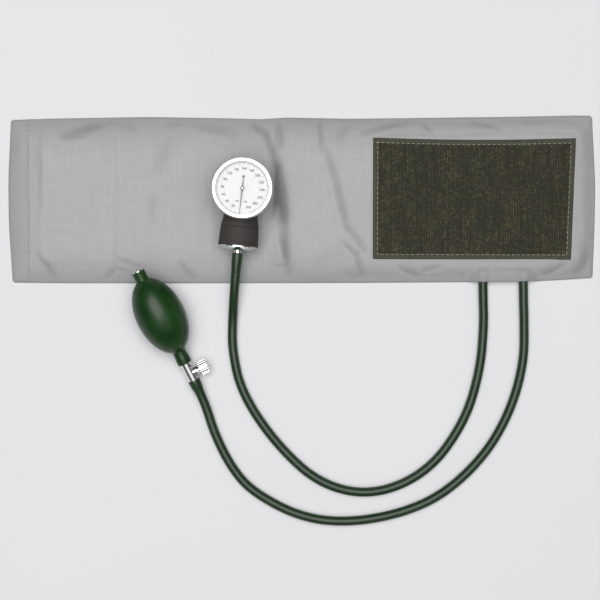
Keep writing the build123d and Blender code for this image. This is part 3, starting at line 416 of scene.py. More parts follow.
def along_edge(points, at, reach=9.0):
    """A smooth line through a few measured points of one edge"""
    stations, values = zip(*points)
    shifts = np.linspace(-reach, reach, 13)
    return np.mean([np.interp(at + shift, stations, values) for shift in shifts], axis=0)


def fold(x, y, start, end, width, height):
    """One soft crease that dies out at both ends, with a low ridge along one side"""
    run = np.subtract(end, start)
    length = np.hypot(*run)
    along = ((x - start[0]) * run[0] + (y - start[1]) * run[1]) / length**2
    across = ((x - start[0]) * run[1] - (y - start[1]) * run[0]) / length
    fading = np.sin(pi * np.clip(along, 0, 1)) ** 0.6
    across = across / width
    return height * fading * (np.exp(-(across**2)) - 0.45 * np.exp(-((across - 1.7) ** 2)))


def hose_hump(x, y):
    """How far the front layer stands up over the hoses, and between them at the open edge"""
    into_cuff = swell(y - hump_end, 12.0)
    humps = [hump_height / (1 + ((x - place) / hump_half_width) ** 4) for place in hose_places]
    bridge = bridge_height * swell(abs(x - np.mean(hose_places)) - 20, 13)
    return into_cuff * np.maximum(np.max(humps, axis=0), bridge)


def beside_gauge(x, y):
    """1 under the gauge and its barrel, where the cloth is pressed flat, and 0 well away"""
    along = np.clip((y - gauge_middle[1]) / barrel_reach[1], 0, 1)
    away_x = x - gauge_middle[0] - barrel_reach[0] * along
    away_y = y - gauge_middle[1] - barrel_reach[1] * along
    return swell(np.hypot(away_x, away_y) - 15, 14)


def over_tail_patch(x, y):
    """How far the patch of loops under the tail lifts the cloth"""
    return patch_thickness * swell(outside(x, y, loop_middle[0], *loop_size, patch_corner), 4.5)


def waves(x, y):
    """Gentle waves of loose cloth, in millimetres"""
    long = 1.1 + 0.32 * np.sin(x / 19 + 1.4 * np.sin(y / 27)) + 0.26 * np.sin((y + 0.5 * x) / 13)
    short = 0.16 * np.sin((x - 1.3 * y) / 8.5) + 0.10 * np.sin((x + 2.1 * y) / 5.3)
    return long + short


def front_height(x, y, edge_distance):
    """Height of the front layer's upper face in millimetres, and how deep in a crease it is, as a
    share of painted shade
    """
    past_bag = outside(x, y, bag_middle, bag_length, bag_width, bag_corner)
    bag = bag_height * swell(past_bag, bag_slope)
    slack = slack_height * swell(outside(x, y, *slack_place), slack_slope)
    hem = hem_fold * swell(x - hem_end, 0.8)
    tucked = hem_fold * swell(y - hem_corner[1], 0.8) * swell(x - hem_corner[0], 2.0)
    flat = beside_gauge(x, y)
    flat_patch = swell(outside(x, y, hook_middle[0], *hook_size, patch_corner), 3.0)
    held = np.maximum(bag, hose_hump(x, y)) + over_tail_patch(x, y) + hem + tucked
    loose = (1 - flat) * (1 - flat_patch) * (1 - swell(edge_distance, 14.0))
    creases = sum(fold(x, y, *one) for one in folds) * swell(8 - edge_distance, 8.0)
    creases = crease_depth * (1 - flat_patch) * creases
    lift = np.maximum(held, slack * (1 - flat))
    height = 2 * cloth + lift + loose * waves(x, y) + (1 - flat) * creases
    return np.maximum(height, 2 * cloth + held), np.clip(-creases / fully_shaded_crease_depth, 0, 1)


def cuff_grid():
    """Points of the cuff in millimetres: x and y of each, and how far it is from the edge"""
    columns = round(cuff_length / grid_step) + 1
    rows = round(cuff_width / grid_step) + 1
    across, up = np.meshgrid(np.linspace(0, 1, columns), np.linspace(0, 1, rows))
    tall = (up - 0.5) * 2 * side_reach
    near_end = np.clip(1 - (side_reach - abs(tall)) / cuff_corner, 0, 1)
    rounding = cuff_corner * (1 - np.sqrt(1 - near_end**2))
    left = along_edge(left_edge, tall) + rounding
    right = along_edge(right_edge, tall) - rounding
    x = left + (right - left) * across
    lower = along_edge(lower_edge, x)
    top = along_edge(top_edge, x)
    y = lower + (top - lower) * up
    edge_distance = np.minimum(np.minimum(x - left, right - x), np.minimum(y - lower, top - y))
    return x, y, edge_distance


def cloth_piece(name, x, y, lower, upper, border):
    """A closed piece of cloth between two height maps in millimetres, joined round the edge"""
    index = np.arange(x.size).reshape(x.shape)
    corners = (index[:-1, :-1], index[:-1, 1:], index[1:, 1:], index[1:, :-1])
    top_faces = np.stack([corner.ravel() for corner in corners], axis=1)
    bottom_faces = x.size + top_faces[:, [0, 3, 2, 1]]
    rim = np.concatenate([index[0, :-1], index[:-1, -1], index[-1, :0:-1], index[:0:-1, 0]])
    following = np.roll(rim, -1)
    rim_faces = np.stack([rim, x.size + rim, x.size + following, following], axis=1)
    faces = np.vstack([top_faces, bottom_faces, rim_faces])
    sheets = [np.column_stack([x.ravel(), y.ravel(), level.ravel()]) for level in (upper, lower)]
    mesh = bpy.data.meshes.new(name)
    mesh.from_pydata((np.vstack(sheets) * millimetre).tolist(), [], faces.tolist())
    # The border mark sets the cloth's tone; on the cuff's front it also carries painted shade in
    # the creases
    marks = mesh.attributes.new("border", "FLOAT", "POINT")
    marks.data.foreach_set("value", np.tile(border.ravel(), 2).astype(np.float32))
    mesh.shade_smooth()
    return new_object(name, mesh)


def worked_out(tree, operation, first, second=0.5):
    """Result of one sum in a node tree; a sum of one value leaves the second out"""
    inputs = {0: first, 1: second}
    return add_node(tree, "ShaderNodeMath", inputs, operation=operation).outputs[0]


def streaks(tree, place, stretch, scale, detail=2.0, roughness=0.5):
    """Noise drawn out into streaks along the axis whose stretch is small"""
    stretched = add_node(tree, "ShaderNodeMapping", {"Vector": place, "Scale": stretch})
    return noise(tree, stretched.outputs[0], scale, detail, roughness)


def mixed(tree, colour, tone):
    """One colour multiplied by another"""
    inputs = {0: colour, 1: tone}
    return add_node(tree, "ShaderNodeVectorMath", inputs, operation="MULTIPLY").outputs[0]


def woven(name, colour, shade, roughness, tones, sheen, thread=0.00034, relief=0.00006):
    """Plain weave with slubs and a soft sheen, in another tone where its border mark is high: near
    its border, and on the cuff's front also down in creases, as painted shade
    """
    material, tree, surface, place = start_material(name)
    parts = add_node(tree, "ShaderNodeSeparateXYZ", {0: place}).outputs
    turns = [worked_out(tree, "MULTIPLY", axis, pi / thread) for axis in (parts[0], parts[1])]
    weave = worked_out(tree, "MULTIPLY", *[worked_out(tree, "SINE", turn) for turn in turns])
    slubs = [streaks(tree, place, scale, 640.0) for scale in ((0.05, 1, 1), (1, 0.05, 1))]
    half = worked_out(tree, "MULTIPLY", worked_out(tree, "ADD", *slubs))
    dyed = ramp(tree, half, (0.40, shade), (0.60, colour))
    border = add_node(tree, "ShaderNodeAttribute", attribute_name="border").outputs["Fac"]
    crinkle = bump(tree, noise(tree, place, 170.0, 4.0), 0.0006, 0.35)
    looks = {
        "Base Color": mixed(tree, dyed, ramp(tree, border, (0.0, tones[0]), (1.0, tones[1]))),
        "Roughness": ramp(tree, slubs[0], (0.3, roughness - 0.05), (0.7, roughness + 0.05)),
        "Sheen Weight": sheen,
        "Sheen Roughness": 0.4,
        "Specular IOR Level": 0.3,
        "Normal": bump(tree, weave, relief, 0.5, crinkle),
    }
    fill(tree, surface, looks)
    return material


grid_x, grid_y, grid_edge = cuff_grid()
mouth = swell(abs(grid_x - sleeve_middle) - sleeve_half, 6) * swell(grid_y + side_reach, 6)
seam = swell(grid_edge, seam_width) ** 2 * (1 - mouth)
front_top, crease_shade = front_height(grid_x, grid_y, grid_edge)
front_top = front_top + (cloth + seam_step - front_top) * seam
front_under = np.maximum(front_top - cloth, cloth + ply_gap)
back_lift = over_tail_patch(grid_x, grid_y)
back_top = np.minimum(cloth + back_lift, front_under - ply_gap)
back_under = np.minimum(back_lift + seam_height * seam, back_top - thinnest)
cuff_border = border_tone * (1 - np.clip(grid_edge / border_reach, 0, 1)) ** 1.7
cuff_border = np.maximum(cuff_border, hem_tone * swell(grid_x - hem_end, 1.0))
cuff_nylon = woven("cuff_nylon", cloth_grey, cloth_shade, 0.72, (1.0, dark_tone), 0.25)
# The front's tone mark is its darker edges plus painted shade down in its creases, both darkening
# it toward dark_tone
front_tone_and_crease_shade = cuff_border + (1 - cuff_border) * crease_shade
cuff_front = cloth_piece("cuff_front_cloth", grid_x, grid_y, front_under, front_top, front_tone_and_crease_shade)
cuff_back = cloth_piece("cuff_back_cloth", grid_x, grid_y, back_under, back_top, cuff_border)
for piece, node in ((cuff_front, "cuff_front"), (cuff_back, "cuff_back")):
    piece.data.materials.append(cuff_nylon)
    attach(piece, "root")
    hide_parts(node)

# Air bag. A flat bag of black rubber, two halves bonded together round a flat rim, dusted with
# talc and slipped into the cuff through the gap in its seam. Two ports stand out of its lower
# edge, and the hoses are pushed on to them.

bag_mid_height = 2.3
bag_corner_steps = 8

# Each row of the bag's section is how far it is in from the edge, and half its thickness there
bag_section = [
    (0.0, 0.12),
    (0.15, 0.42),
    (4.4, 0.5),
    (5.2, 0.85),
    (7.0, 1.3),
    (10.0, 1.5),
    (26.0, 1.56),
]
port_sides = 32

# Each row of a port's section is its y, its half width and half height, and its middle's height
port_section = [
    (-56.0, 5.6, 1.2, 2.3),
    (-58.5, 6.0, 1.4, 2.4),
    (-61.0, 4.8, 2.1, 3.2),
    (-63.5, 3.7, 3.2, 4.4),
    (-65.3, 3.5, 3.5, 4.7),
    (-65.7, 3.2, 3.2, 4.7),
    (-65.7, 1.5, 1.5, 4.7),
    (-62.7, 1.4, 1.4, 4.5),
    (-57.5, 1.2, 0.5, 2.3),
]


def bag_ring(inset, height):
    """The bag's outline moved in from its edge, at one height"""
    corner = max(bag_corner - inset, 0.6)
    reach_x = bag_length / 2 - inset - corner
    reach_y = bag_width / 2 - inset - corner
    ring = []
    for turn, (side_x, side_y) in enumerate([(1, 1), (-1, 1), (-1, -1), (1, -1)]):
        for step in range(bag_corner_steps + 1):
            angle = radians(90 * (turn + step / bag_corner_steps))
            x = bag_middle + side_x * reach_x + corner * cos(angle)
            y = side_y * reach_y + corner * sin(angle)
            ring.append(Vector((x, y, height)) * millimetre)
    return ring


bag_levels = [(inset, bag_mid_height - half) for inset, half in reversed(bag_section)]
bag_levels += [(inset, bag_mid_height + half) for inset, half in bag_section]
bag_points = [place for level in bag_levels for place in bag_ring(*level)]
bag_around = 4 * (bag_corner_steps + 1)
bag_faces = ring_faces(len(bag_levels), bag_around)
bag_faces.append(tuple(range(bag_around)))
bag_faces.append(tuple(range(len(bag_points) - bag_around, len(bag_points))))
air_bag = mesh_piece("air_bag", bag_points, bag_faces)

port_points = []
for place_x in hose_places:
    for y, half_width, half_height, middle in port_section:
        for step in range(port_sides):
            angle = 2 * pi * step / port_sides
            x = place_x + half_width * cos(angle)
            z = middle + half_height * sin(angle)
            port_points.append(Vector((x, y, z)) * millimetre)
port_faces = []
for port in range(len(hose_places)):
    first = port * len(port_section) * port_sides
    last = first + (len(port_section) - 1) * port_sides
    for face in ring_faces(len(port_section), port_sides):
        port_faces.append(tuple(first + corner for corner in face))
    port_faces.append(tuple(range(first, first + port_sides)))
    port_faces.append(tuple(range(last, last + port_sides)))
bag_ports = mesh_piece("air_bag_ports", port_points, port_faces)

bag_rubber = rubber("bag_rubber", (0.018, 0.018, 0.019), (0.085, 0.083, 0.080), 0.62, 60.0)
for piece in (air_bag, bag_ports):
    piece.data.materials.append(bag_rubber)
    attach(piece, "root")
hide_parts("bladder")

# Fastener patches. Olive nylon tape that grips itself: a large patch of hooks on the cuff's
# face, and a smaller one of loops under its tail. Each is a woven tape with plain borders,
# whose hooks or loops of thick yarn stand in rows, and is sewn on round its edge.

hook_turn = radians(-0.6)
hook_base = 4.6
tape = 0.5
tape_gap = 0.01
tape_step = 1.0
tape_rounding = 0.3
plain_border = 4.9
yarn_sink = 0.08
corner_pull = 4.2
top_sag = 1.7
tape_olive = (0.066, 0.068, 0.044)
tape_worn = (0.096, 0.094, 0.066)
hook_olive = (0.096, 0.104, 0.033)
hook_brown = (0.138, 0.108, 0.041)


def geometry_tree(name, sizes):
    """A tree of geometry nodes with a named input for each size, given with its usual value"""
    tree = bpy.data.node_groups.new(name, "GeometryNodeTree")
    tree.interface.new_socket("Geometry", in_out="INPUT", socket_type="NodeSocketGeometry")
    for label, value in sizes.items():
        kind = "NodeSocketInt" if isinstance(value, int) else "NodeSocketFloat"
        socket = tree.interface.new_socket(label, in_out="INPUT", socket_type=kind)
        socket.default_value = value
    tree.interface.new_socket("Geometry", in_out="OUTPUT", socket_type="NodeSocketGeometry")
    given = add_node(tree, "NodeGroupInput").outputs
    return tree, given


def finish_tree(tree, copies, material, smooth=True):
    """Ends a tree that puts copies of a shape on points: as one real mesh, in one material"""
    made = add_node(tree, "GeometryNodeInstanceOnPoints", copies).outputs[0]
    made = add_node(tree, "GeometryNodeRealizeInstances", {"Geometry": made}).outputs[0]
    if smooth:
        made = add_node(tree, "GeometryNodeSetShadeSmooth", {"Geometry": made}).outputs[0]
    inputs = {"Geometry": made, "Material": material}
    coloured = add_node(tree, "GeometryNodeSetMaterial", inputs).outputs[0]
    add_node(tree, "NodeGroupOutput", {0: coloured})
    return tree


def combined(tree, **parts):
    """A place, size or turn in a tree, from its X, Y and Z; what is left out is 0"""
    return add_node(tree, "ShaderNodeCombineXYZ", parts).outputs[0]


def grown(name, tree, sizes, start=None, place=None):
    """Plain mesh piece of what a tree makes, from a line where it needs one, with its sizes set"""
    if start is None:
        start = new_object(name + "_start", bpy.data.meshes.new(name + "_start"))
    modifier = start.modifiers.new(tree.name, "NODES")
    modifier.node_group = tree
    for item in tree.interface.items_tree:
        if item.in_out == "INPUT" and item.name in sizes:
            modifier[item.identifier] = sizes[item.name]
    evaluated = start.evaluated_get(bpy.context.evaluated_depsgraph_get())
    mesh = bpy.data.meshes.new_from_object(evaluated)
    start.modifiers.remove(modifier)
    bpy.data.objects.remove(start)
    if place is not None:
        mesh.transform(place)
    return new_object(name, mesh)


def pulled(x, y):
    """Places on the hook patch after its lower right corner and top edge were pulled in"""
    along = np.clip((x - hook_middle[0]) / hook_size[0] + 0.5, 0, 1)
    up = np.clip((y - hook_middle[1]) / hook_size[1] + 0.5, 0, 1)
    return x - corner_pull * along**2 * (1 - up), y - top_sag * np.sin(pi * along) * up


def on_patch(middle, turn, along, up):
    """A place on a turned patch that is so far along and up from its middle"""
    x = middle[0] + along * cos(turn) - up * sin(turn)
    return x, middle[1] + along * sin(turn) + up * cos(turn)


def tape_grid(middle, size, turn):
    """Points of a patch in millimetres, how rounded off each is, and its share of the border"""
    columns = round(size[0] / tape_step) + 1
    rows = round(size[1] / tape_step) + 1
    along = (np.linspace(0, 1, columns) - 0.5) * size[0]
    up = (np.linspace(0, 1, rows) - 0.5) * size[1]
    along, up = np.meshgrid(along, up)
    edge_distance = np.minimum(size[0] / 2 - abs(along), size[1] / 2 - abs(up))
    border = swell(edge_distance - plain_border + 1.0, 1.0)
    rounding = tape_rounding * swell(edge_distance, 1.0)
    return *on_patch(middle, turn, along, up), rounding, border


def tuft_tree(name, material, sizes):
    """Rows of bent yarn, each a little askew, on a flat patch; a negative height hangs down"""
    tree, given = geometry_tree(name, sizes)
    grid_inputs = {
        "Size X": given["Length"],
        "Size Y": given["Width"],
        "Vertices X": given["Along"],
        "Vertices Y": given["Across"],
    }
    grid = add_node(tree, "GeometryNodeMeshGrid", grid_inputs).outputs[0]
    behind = worked_out(tree, "MULTIPLY", given["Reach"], -0.5)
    ahead = worked_out(tree, "MULTIPLY", given["Reach"], 0.5)
    foot = combined(tree, Y=behind)
    crown = combined(tree, Z=given["Height"])
    tip = combined(tree, Y=ahead, Z=given["End Height"])
    bend_inputs = {"Resolution": 4, "Start": foot, "Middle": crown, "End": tip}
    bend = add_node(tree, "GeometryNodeCurveQuadraticBezier", bend_inputs).outputs[0]
    round_inputs = {"Resolution": 3, "Radius": given["Yarn Radius"]}
    section = add_node(tree, "GeometryNodeCurvePrimitiveCircle", round_inputs).outputs[0]
    yarn_inputs = {"Curve": bend, "Profile Curve": section, "Fill Caps": True}
    yarn = add_node(tree, "GeometryNodeCurveToMesh", yarn_inputs).outputs[0]
    turns = add_node(tree, "FunctionNodeRandomValue", {8: 11}, data_type="FLOAT")
    negative = worked_out(tree, "MULTIPLY", given["Askew"], -1.0)
    fill(tree, turns, {2: negative, 3: given["Askew"]})
    euler = combined(tree, Z=turns.outputs[1])
    turned = add_node(tree, "FunctionNodeEulerToRotation", {0: euler}).outputs[0]
    copies = {"Points": grid, "Instance": yarn, "Rotation": turned}
    return finish_tree(tree, copies, material)


def nylon_tape(name, colour, other, roughness, mottle):
    """Dyed nylon yarn: two dyes in clouds, streaks along the rows, and tufts light and dark"""
    material, tree, surface, place = start_material(name)
    clouds = ramp(tree, noise(tree, place, mottle, 3.0, 0.6), (0.40, colour), (0.60, other))
    rows = ramp(tree, streaks(tree, place, (1, 0.07, 1), 420.0), (0.35, 0.6), (0.65, 1.4))
    cells = add_node(tree, "ShaderNodeTexVoronoi", {"Vector": place, "Scale": 560.0})
    cell = add_node(tree, "ShaderNodeSeparateXYZ", {0: cells.outputs["Color"]}).outputs[0]
    tufts = ramp(tree, cell, (0.0, 0.34), (0.6, 0.84), (1.0, 2.35))
    fine = noise(tree, place, 1900.0, 2.0)
    looks = {
        "Base Color": mixed(tree, mixed(tree, clouds, rows), tufts),
        "Roughness": ramp(tree, fine, (0.3, roughness - 0.08), (0.7, roughness + 0.08)),
        "Specular IOR Level": 0.2,
        "Normal": bump(tree, fine, 0.00012, 0.5),
    }
    fill(tree, surface, looks)
    return material


olive_tape = woven("olive_tape", tape_worn, tape_olive, 0.7, (0.3, 0.72), 0.0, 0.00045, 0.00009)
olive_hooks = nylon_tape("olive_hooks", hook_olive, hook_brown, 0.42, 48.0)
olive_loops = nylon_tape("olive_loops", hook_olive, tape_olive, 0.7, 80.0)

patch_x, patch_y, rounded, border = tape_grid(hook_middle, hook_size, hook_turn)
patch_x, patch_y = pulled(patch_x, patch_y)
lower = np.full_like(patch_x, hook_base + tape_gap)
upper = hook_base + tape - rounded
hook_tape = cloth_piece("hook_tape", patch_x, patch_y, lower, upper, border)
patch_x, patch_y, rounded, border = tape_grid(loop_middle, loop_size, 0.0)
lower = patch_thickness - tape + rounded
upper = np.full_like(patch_x, patch_thickness - tape_gap)
loop_tape = cloth_piece("loop_tape", patch_x, patch_y, lower, upper, border)

hook_place = Matrix.Translation(Vector((*hook_middle, hook_base + tape - yarn_sink)) * millimetre)
hook_sizes = {
    "Length": (hook_size[0] - 2 * plain_border - 0.6) * millimetre,
    "Width": (hook_size[1] - 2 * plain_border - 1.4) * millimetre,
    "Along": 115,
    "Across": 54,
    "Yarn Radius": 0.00024,
    "Reach": 0.0014,
    "End Height": 0.00022,
    "Height": 0.00084,
    "Askew": 0.20,
}
hook_place = hook_place @ Matrix.Rotation(hook_turn, 4, "Z")
tufts = tuft_tree("rows_of_yarn", olive_hooks, hook_sizes)
hook_rows = grown("hook_rows", tufts, hook_sizes, place=hook_place)
for vertex in hook_rows.data.vertices:
    x, y = pulled(vertex.co.x / millimetre, vertex.co.y / millimetre)
    vertex.co.x = x * millimetre
    vertex.co.y = y * millimetre
loop_level = patch_thickness - tape + yarn_sink
loop_place = Matrix.Translation(Vector((*loop_middle, loop_level)) * millimetre)
loop_sizes = {
    "Length": (loop_size[0] - 2 * plain_border) * millimetre,
    "Width": (loop_size[1] - 2 * plain_border) * millimetre,
    "Along": 40,
    "Across": 66,
    "Yarn Radius": 0.00012,
    "Reach": 0.0012,
    "End Height": 0.0,
    "Height": -0.00112,
    "Askew": 1.2,
}
loops = tuft_tree("rows_of_loops", olive_loops, loop_sizes)
loop_rows = grown("loop_rows", loops, loop_sizes, place=loop_place)
for piece in (hook_tape, loop_tape):
    piece.data.materials.append(olive_tape)
for piece in (hook_tape, loop_tape, hook_rows, loop_rows):
    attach(piece, "root")
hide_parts("hook_patch")
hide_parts("pile_patch")

# Stitching. Lockstitch in spun polyester: grey along the tail's hem and down the other end,
# beige round both patches, and one short bar of tight stitches beside the hoses, where
# the gap in the seam ends. Each stitch sinks a little into the cloth.

stitch_sizes = {"Pitch": 0.0044, "Stitch": 0.0032, "Thread Radius": 0.00032}
bar_sizes = {"Pitch": 0.0010, "Stitch": 0.0022, "Thread Radius": 0.00022}
thread_beige = (0.44, 0.41, 0.30)
thread_beige_worn = (0.28, 0.26, 0.19)
thread_grey = (0.33, 0.335, 0.33)
thread_grey_worn = (0.27, 0.275, 0.27)
patch_seam = 4.2
round_patch = [(-1, 1), (1, 1), (1, -1), (-1, -1), (-1, 1)]
along_top = [(share, 1) for share in (-0.6, -0.2, 0.2, 0.6)]


def thread_material(name, colour, worn):
    """Spun thread: fine twist lines and a fuzzy, uneven colour"""
    material, tree, surface, place = start_material(name)
    fuzz = noise(tree, place, 900.0, 3.0, 0.6)
    twist_inputs = {"Vector": place, "Scale": 700.0, "Distortion": 2.0}
    twist = add_node(tree, "ShaderNodeTexWave", twist_inputs).outputs["Fac"]
    looks = {
        "Base Color": ramp(tree, fuzz, (0.3, worn), (0.7, colour)),
        "Roughness": ramp(tree, fuzz, (0.2, 0.6), (0.8, 0.8)),
        "Normal": bump(tree, twist, 0.00006, 0.6),
    }
    fill(tree, surface, looks)
    return material


def stitch_tree(name, material):
    """Equal stitches along a line, each a small spindle of thread that follows the line"""
    tree, given = geometry_tree(name, stitch_sizes)
    step_inputs = {"Curve": given["Geometry"], "Length": given["Pitch"]}
    steps = add_node(tree, "GeometryNodeCurveToPoints", step_inputs, mode="LENGTH").outputs
    line = {"Vector": steps["Tangent"]}
    along = add_node(tree, "FunctionNodeAlignRotationToVector", line, axis="Z").outputs[0]
    ball_inputs = {"Segments": 7, "Rings": 6, "Radius": 1.0}
    ball = add_node(tree, "GeometryNodeMeshUVSphere", ball_inputs).outputs[0]
    half = worked_out(tree, "MULTIPLY", given["Stitch"])
    size = combined(tree, X=given["Thread Radius"], Y=given["Thread Radius"], Z=half)
    copies = {"Points": steps["Points"], "Instance": ball, "Rotation": along, "Scale": size}
    return finish_tree(tree, copies, material)


cloth_surface = BVHTree.FromPolygons(
    [vertex.co for vertex in cuff_front.data.vertices],
    [polygon.vertices for polygon in cuff_front.data.polygons],
)


def seam_line(name, corners, above):
    """A line of short runs through corners given in millimetres, laid on the cuff"""
    places = []
    for start, end in zip(corners, corners[1:]):
        run = Vector(end) - Vector(start)
        count = max(round(run.length / 2.0), 1)
        places += [Vector(start) + run * step / count for step in range(count)]
    places.append(Vector(corners[-1]))
    points = []
    for place in places:
        above_it = Vector((place.x, place.y, 60)) * millimetre
        hit = cloth_surface.ray_cast(above_it, Vector((0, 0, -1)))[0]
        points.append(hit + Vector((0, 0, above * millimetre)))
    return flat_curve(name, points, smooth=False)


def seam_place(middle, size, turn, share_x, share_y):
    """One place on the seam round a patch, in millimetres; a share of 1 is at its end"""
    along = share_x * (size[0] / 2 - patch_seam)
    up = share_y * (size[1] / 2 - patch_seam)
    return on_patch(middle, turn, along, up)


beige_thread = thread_material("beige_thread", thread_beige, thread_beige_worn)
grey_thread = thread_material("grey_thread", thread_grey, thread_grey_worn)
beige_stitches = stitch_tree("beige_stitches", beige_thread)
grey_stitches = stitch_tree("grey_stitches", grey_thread)
hook_shares = round_patch[:1] + along_top + round_patch[1:]
hook_seam = [seam_place(hook_middle, hook_size, hook_turn, *shares) for shares in hook_shares]
seams = [
    ("patch_stitches", beige_stitches, stitch_sizes, tape + 0.1, "patch",
     [pulled(x, y) for x, y in hook_seam]),
    ("hem_stitches", grey_stitches, stitch_sizes, 0.02, "cuff_cloth",
     [(-238.0, 66.0), (-238.4, 62.6), (-239.2, -49.4), (-239.2, -66.0)]),
    ("end_stitches", grey_stitches, stitch_sizes, 0.02, "cuff_cloth",
     [(251.4, 66.0), (252.4, 0.0), (252.2, -66.0)]),
    ("bar_stitches", grey_stitches, bar_sizes, 0.05, "cuff_cloth",
     [(139.2, -64.6), (139.9, -66.0), (138.6, -67.4), (139.9, -68.8), (138.6, -70.2)]),
]
for name, tree, sizes, above, slot, corners in seams:
    stitches = grown(name, tree, sizes, seam_line(name + "_line", corners, above))
    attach(stitches, "root")

loop_seam = []
for shares in round_patch:
    x, y = seam_place(loop_middle, loop_size, 0.0, *shares)
    loop_seam.append(Vector((x, y, patch_thickness - tape - 0.1)) * millimetre)
loop_seam_line = flat_curve("loop_stitches_line", loop_seam, smooth=False)
loop_stitches = grown("loop_stitches", beige_stitches, stitch_sizes, loop_seam_line)
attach(loop_stitches, "root")

# Gauge. A painted die-cast case with a turned brass movement inside, a white dial, a chromed
# bezel that screws down over the flat glass, and a plated cap and nipple at the barrel's end.
# It and the bulb's valves keep the frame's shapes, and get their finishes here, slot by slot.

case_brown = (0.031, 0.026, 0.023)
case_worn = (0.042, 0.036, 0.032)
chrome_bright = (0.86, 0.86, 0.865)
chrome_dull = (0.78, 0.78, 0.79)
steel_bright = (0.56, 0.56, 0.57)
steel_dull = (0.44, 0.44, 0.46)
brass_bright = (0.62, 0.44, 0.18)
brass_dull = (0.46, 0.31, 0.12)
dial_white = (0.88, 0.88, 0.875)
dial_shade = (0.85, 0.85, 0.845)
pointer_grey = (0.085, 0.085, 0.09)
pointer_worn = (0.12, 0.12, 0.125)


def metal(name, bright, dull, roughness, scratch=(60.0, 900.0)):
    """Bare metal: faint tarnish in clouds, and fine scratches that break up the shine"""
    material, tree, surface, place = start_material(name)
    clouds = noise(tree, place, scratch[0], 3.0)
    lines = streaks(tree, place, (1, 0.12, 1), scratch[1], 3.0, 0.6)
    looks = {
        "Base Color": ramp(tree, clouds, (0.3, dull), (0.6, bright)),
        "Metallic": 1.0,
        "Roughness": ramp(tree, lines, (0.35, roughness), (0.75, roughness * 1.6)),
        "Normal": bump(tree, lines, 0.00001, 0.25),
    }
    fill(tree, surface, looks)
    return material


def paint(name, colour, other, roughness, grain, relief):
    """Baked paint with a fine grain, and colour that strays a little"""
    material, tree, surface, place = start_material(name)
    clouds = noise(tree, place, 70.0, 3.0)
    fine = noise(tree, place, grain, 3.0, 0.6)
    looks = {
        "Base Color": ramp(tree, clouds, (0.35, colour), (0.7, other)),
        "Roughness": ramp(tree, fine, (0.3, roughness - 0.06), (0.7, roughness + 0.06)),
        "Normal": bump(tree, fine, relief, 0.6),
    }
    fill(tree, surface, looks)
    return material


def clear_glass(name):
    """Flat glass with a few faint smears"""
    material, tree, surface, place = start_material(name)
    smears = noise(tree, place, 45.0, 4.0, 0.7)
    looks = {
        "Base Color": ramp(tree, smears, (0.3, (0.93, 0.95, 0.95)), (0.8, (0.97, 0.98, 0.98))),
        "Roughness": ramp(tree, smears, (0.4, 0.02), (0.9, 0.12)),
        "Alpha": 0.07,
    }
    fill(tree, surface, looks)
    return material


chrome = metal("polished_chrome", chrome_bright, chrome_dull, 0.07)
satin_chrome = metal("satin_chrome", (0.78, 0.78, 0.785), (0.73, 0.73, 0.74), 0.26)
steel = metal("brushed_steel", steel_bright, steel_dull, 0.24, (90.0, 1500.0))
brass = metal("turned_brass", brass_bright, brass_dull, 0.22, (120.0, 1300.0))
case_paint = paint("case_paint", case_brown, case_worn, 0.72, 2400.0, 0.00006)
dial_enamel = paint("dial_enamel", dial_shade, dial_white, 0.45, 1600.0, 0.00001)
pointer_paint = paint("pointer_paint", pointer_grey, pointer_worn, 0.4, 1800.0, 0.00001)
gasket_rubber = rubber("gasket_rubber", (0.012, 0.012, 0.012), (0.030, 0.030, 0.030), 0.6)
disc_rubber = rubber("disc_rubber", (0.14, 0.035, 0.020), (0.19, 0.060, 0.038), 0.55)
finishes = {
    "case_paint": case_paint,
    "bezel_metal": satin_chrome,
    "plated": chrome,
    "dial_white": dial_enamel,
    "pointer_grey": pointer_paint,
    "glass": clear_glass("gauge_glass"),
    "gasket": gasket_rubber,
    "brass": brass,
    "steel": steel,
    "valve_disc": disc_rubber,
}
for part in frame["record"]["subparts"]:
    if part["material_slot"] in finishes:
        for slot in frame["nodes"][part["node"]].material_slots:
            slot.material = finishes[part["material_slot"]]

# Dial printing. Grey ink on the white dial: a tick every 2 mm of mercury round the edge, longer
# at every 10, a number every 20, and the unit either side of the pointer. Zero is at the
# bottom, and the scale runs clockwise to 300.

dial_height = 36.6
gauge_turn = radians(-5.5)
dial_place = Vector((*gauge_middle, dial_height)) * millimetre
dial_turn = Matrix.Translation(dial_place) @ Matrix.Rotation(gauge_turn, 4, "Z")
degrees_each = 1.125
scale_end = 300
scale_step = 2
number_radius = 16.9
number_size = 3.1
ink_spread = 0.07
unit_size = 2.3
unit_places = [("mm", (-3.4, -11.0)), ("Hg", (3.4, -11.0))]
ink_height = 0.00002
ink_grey = (0.045, 0.045, 0.050)
ink_light = (0.080, 0.080, 0.085)
ink = paint("printing_ink", ink_grey, ink_light, 0.55, 2500.0, 0.000004)


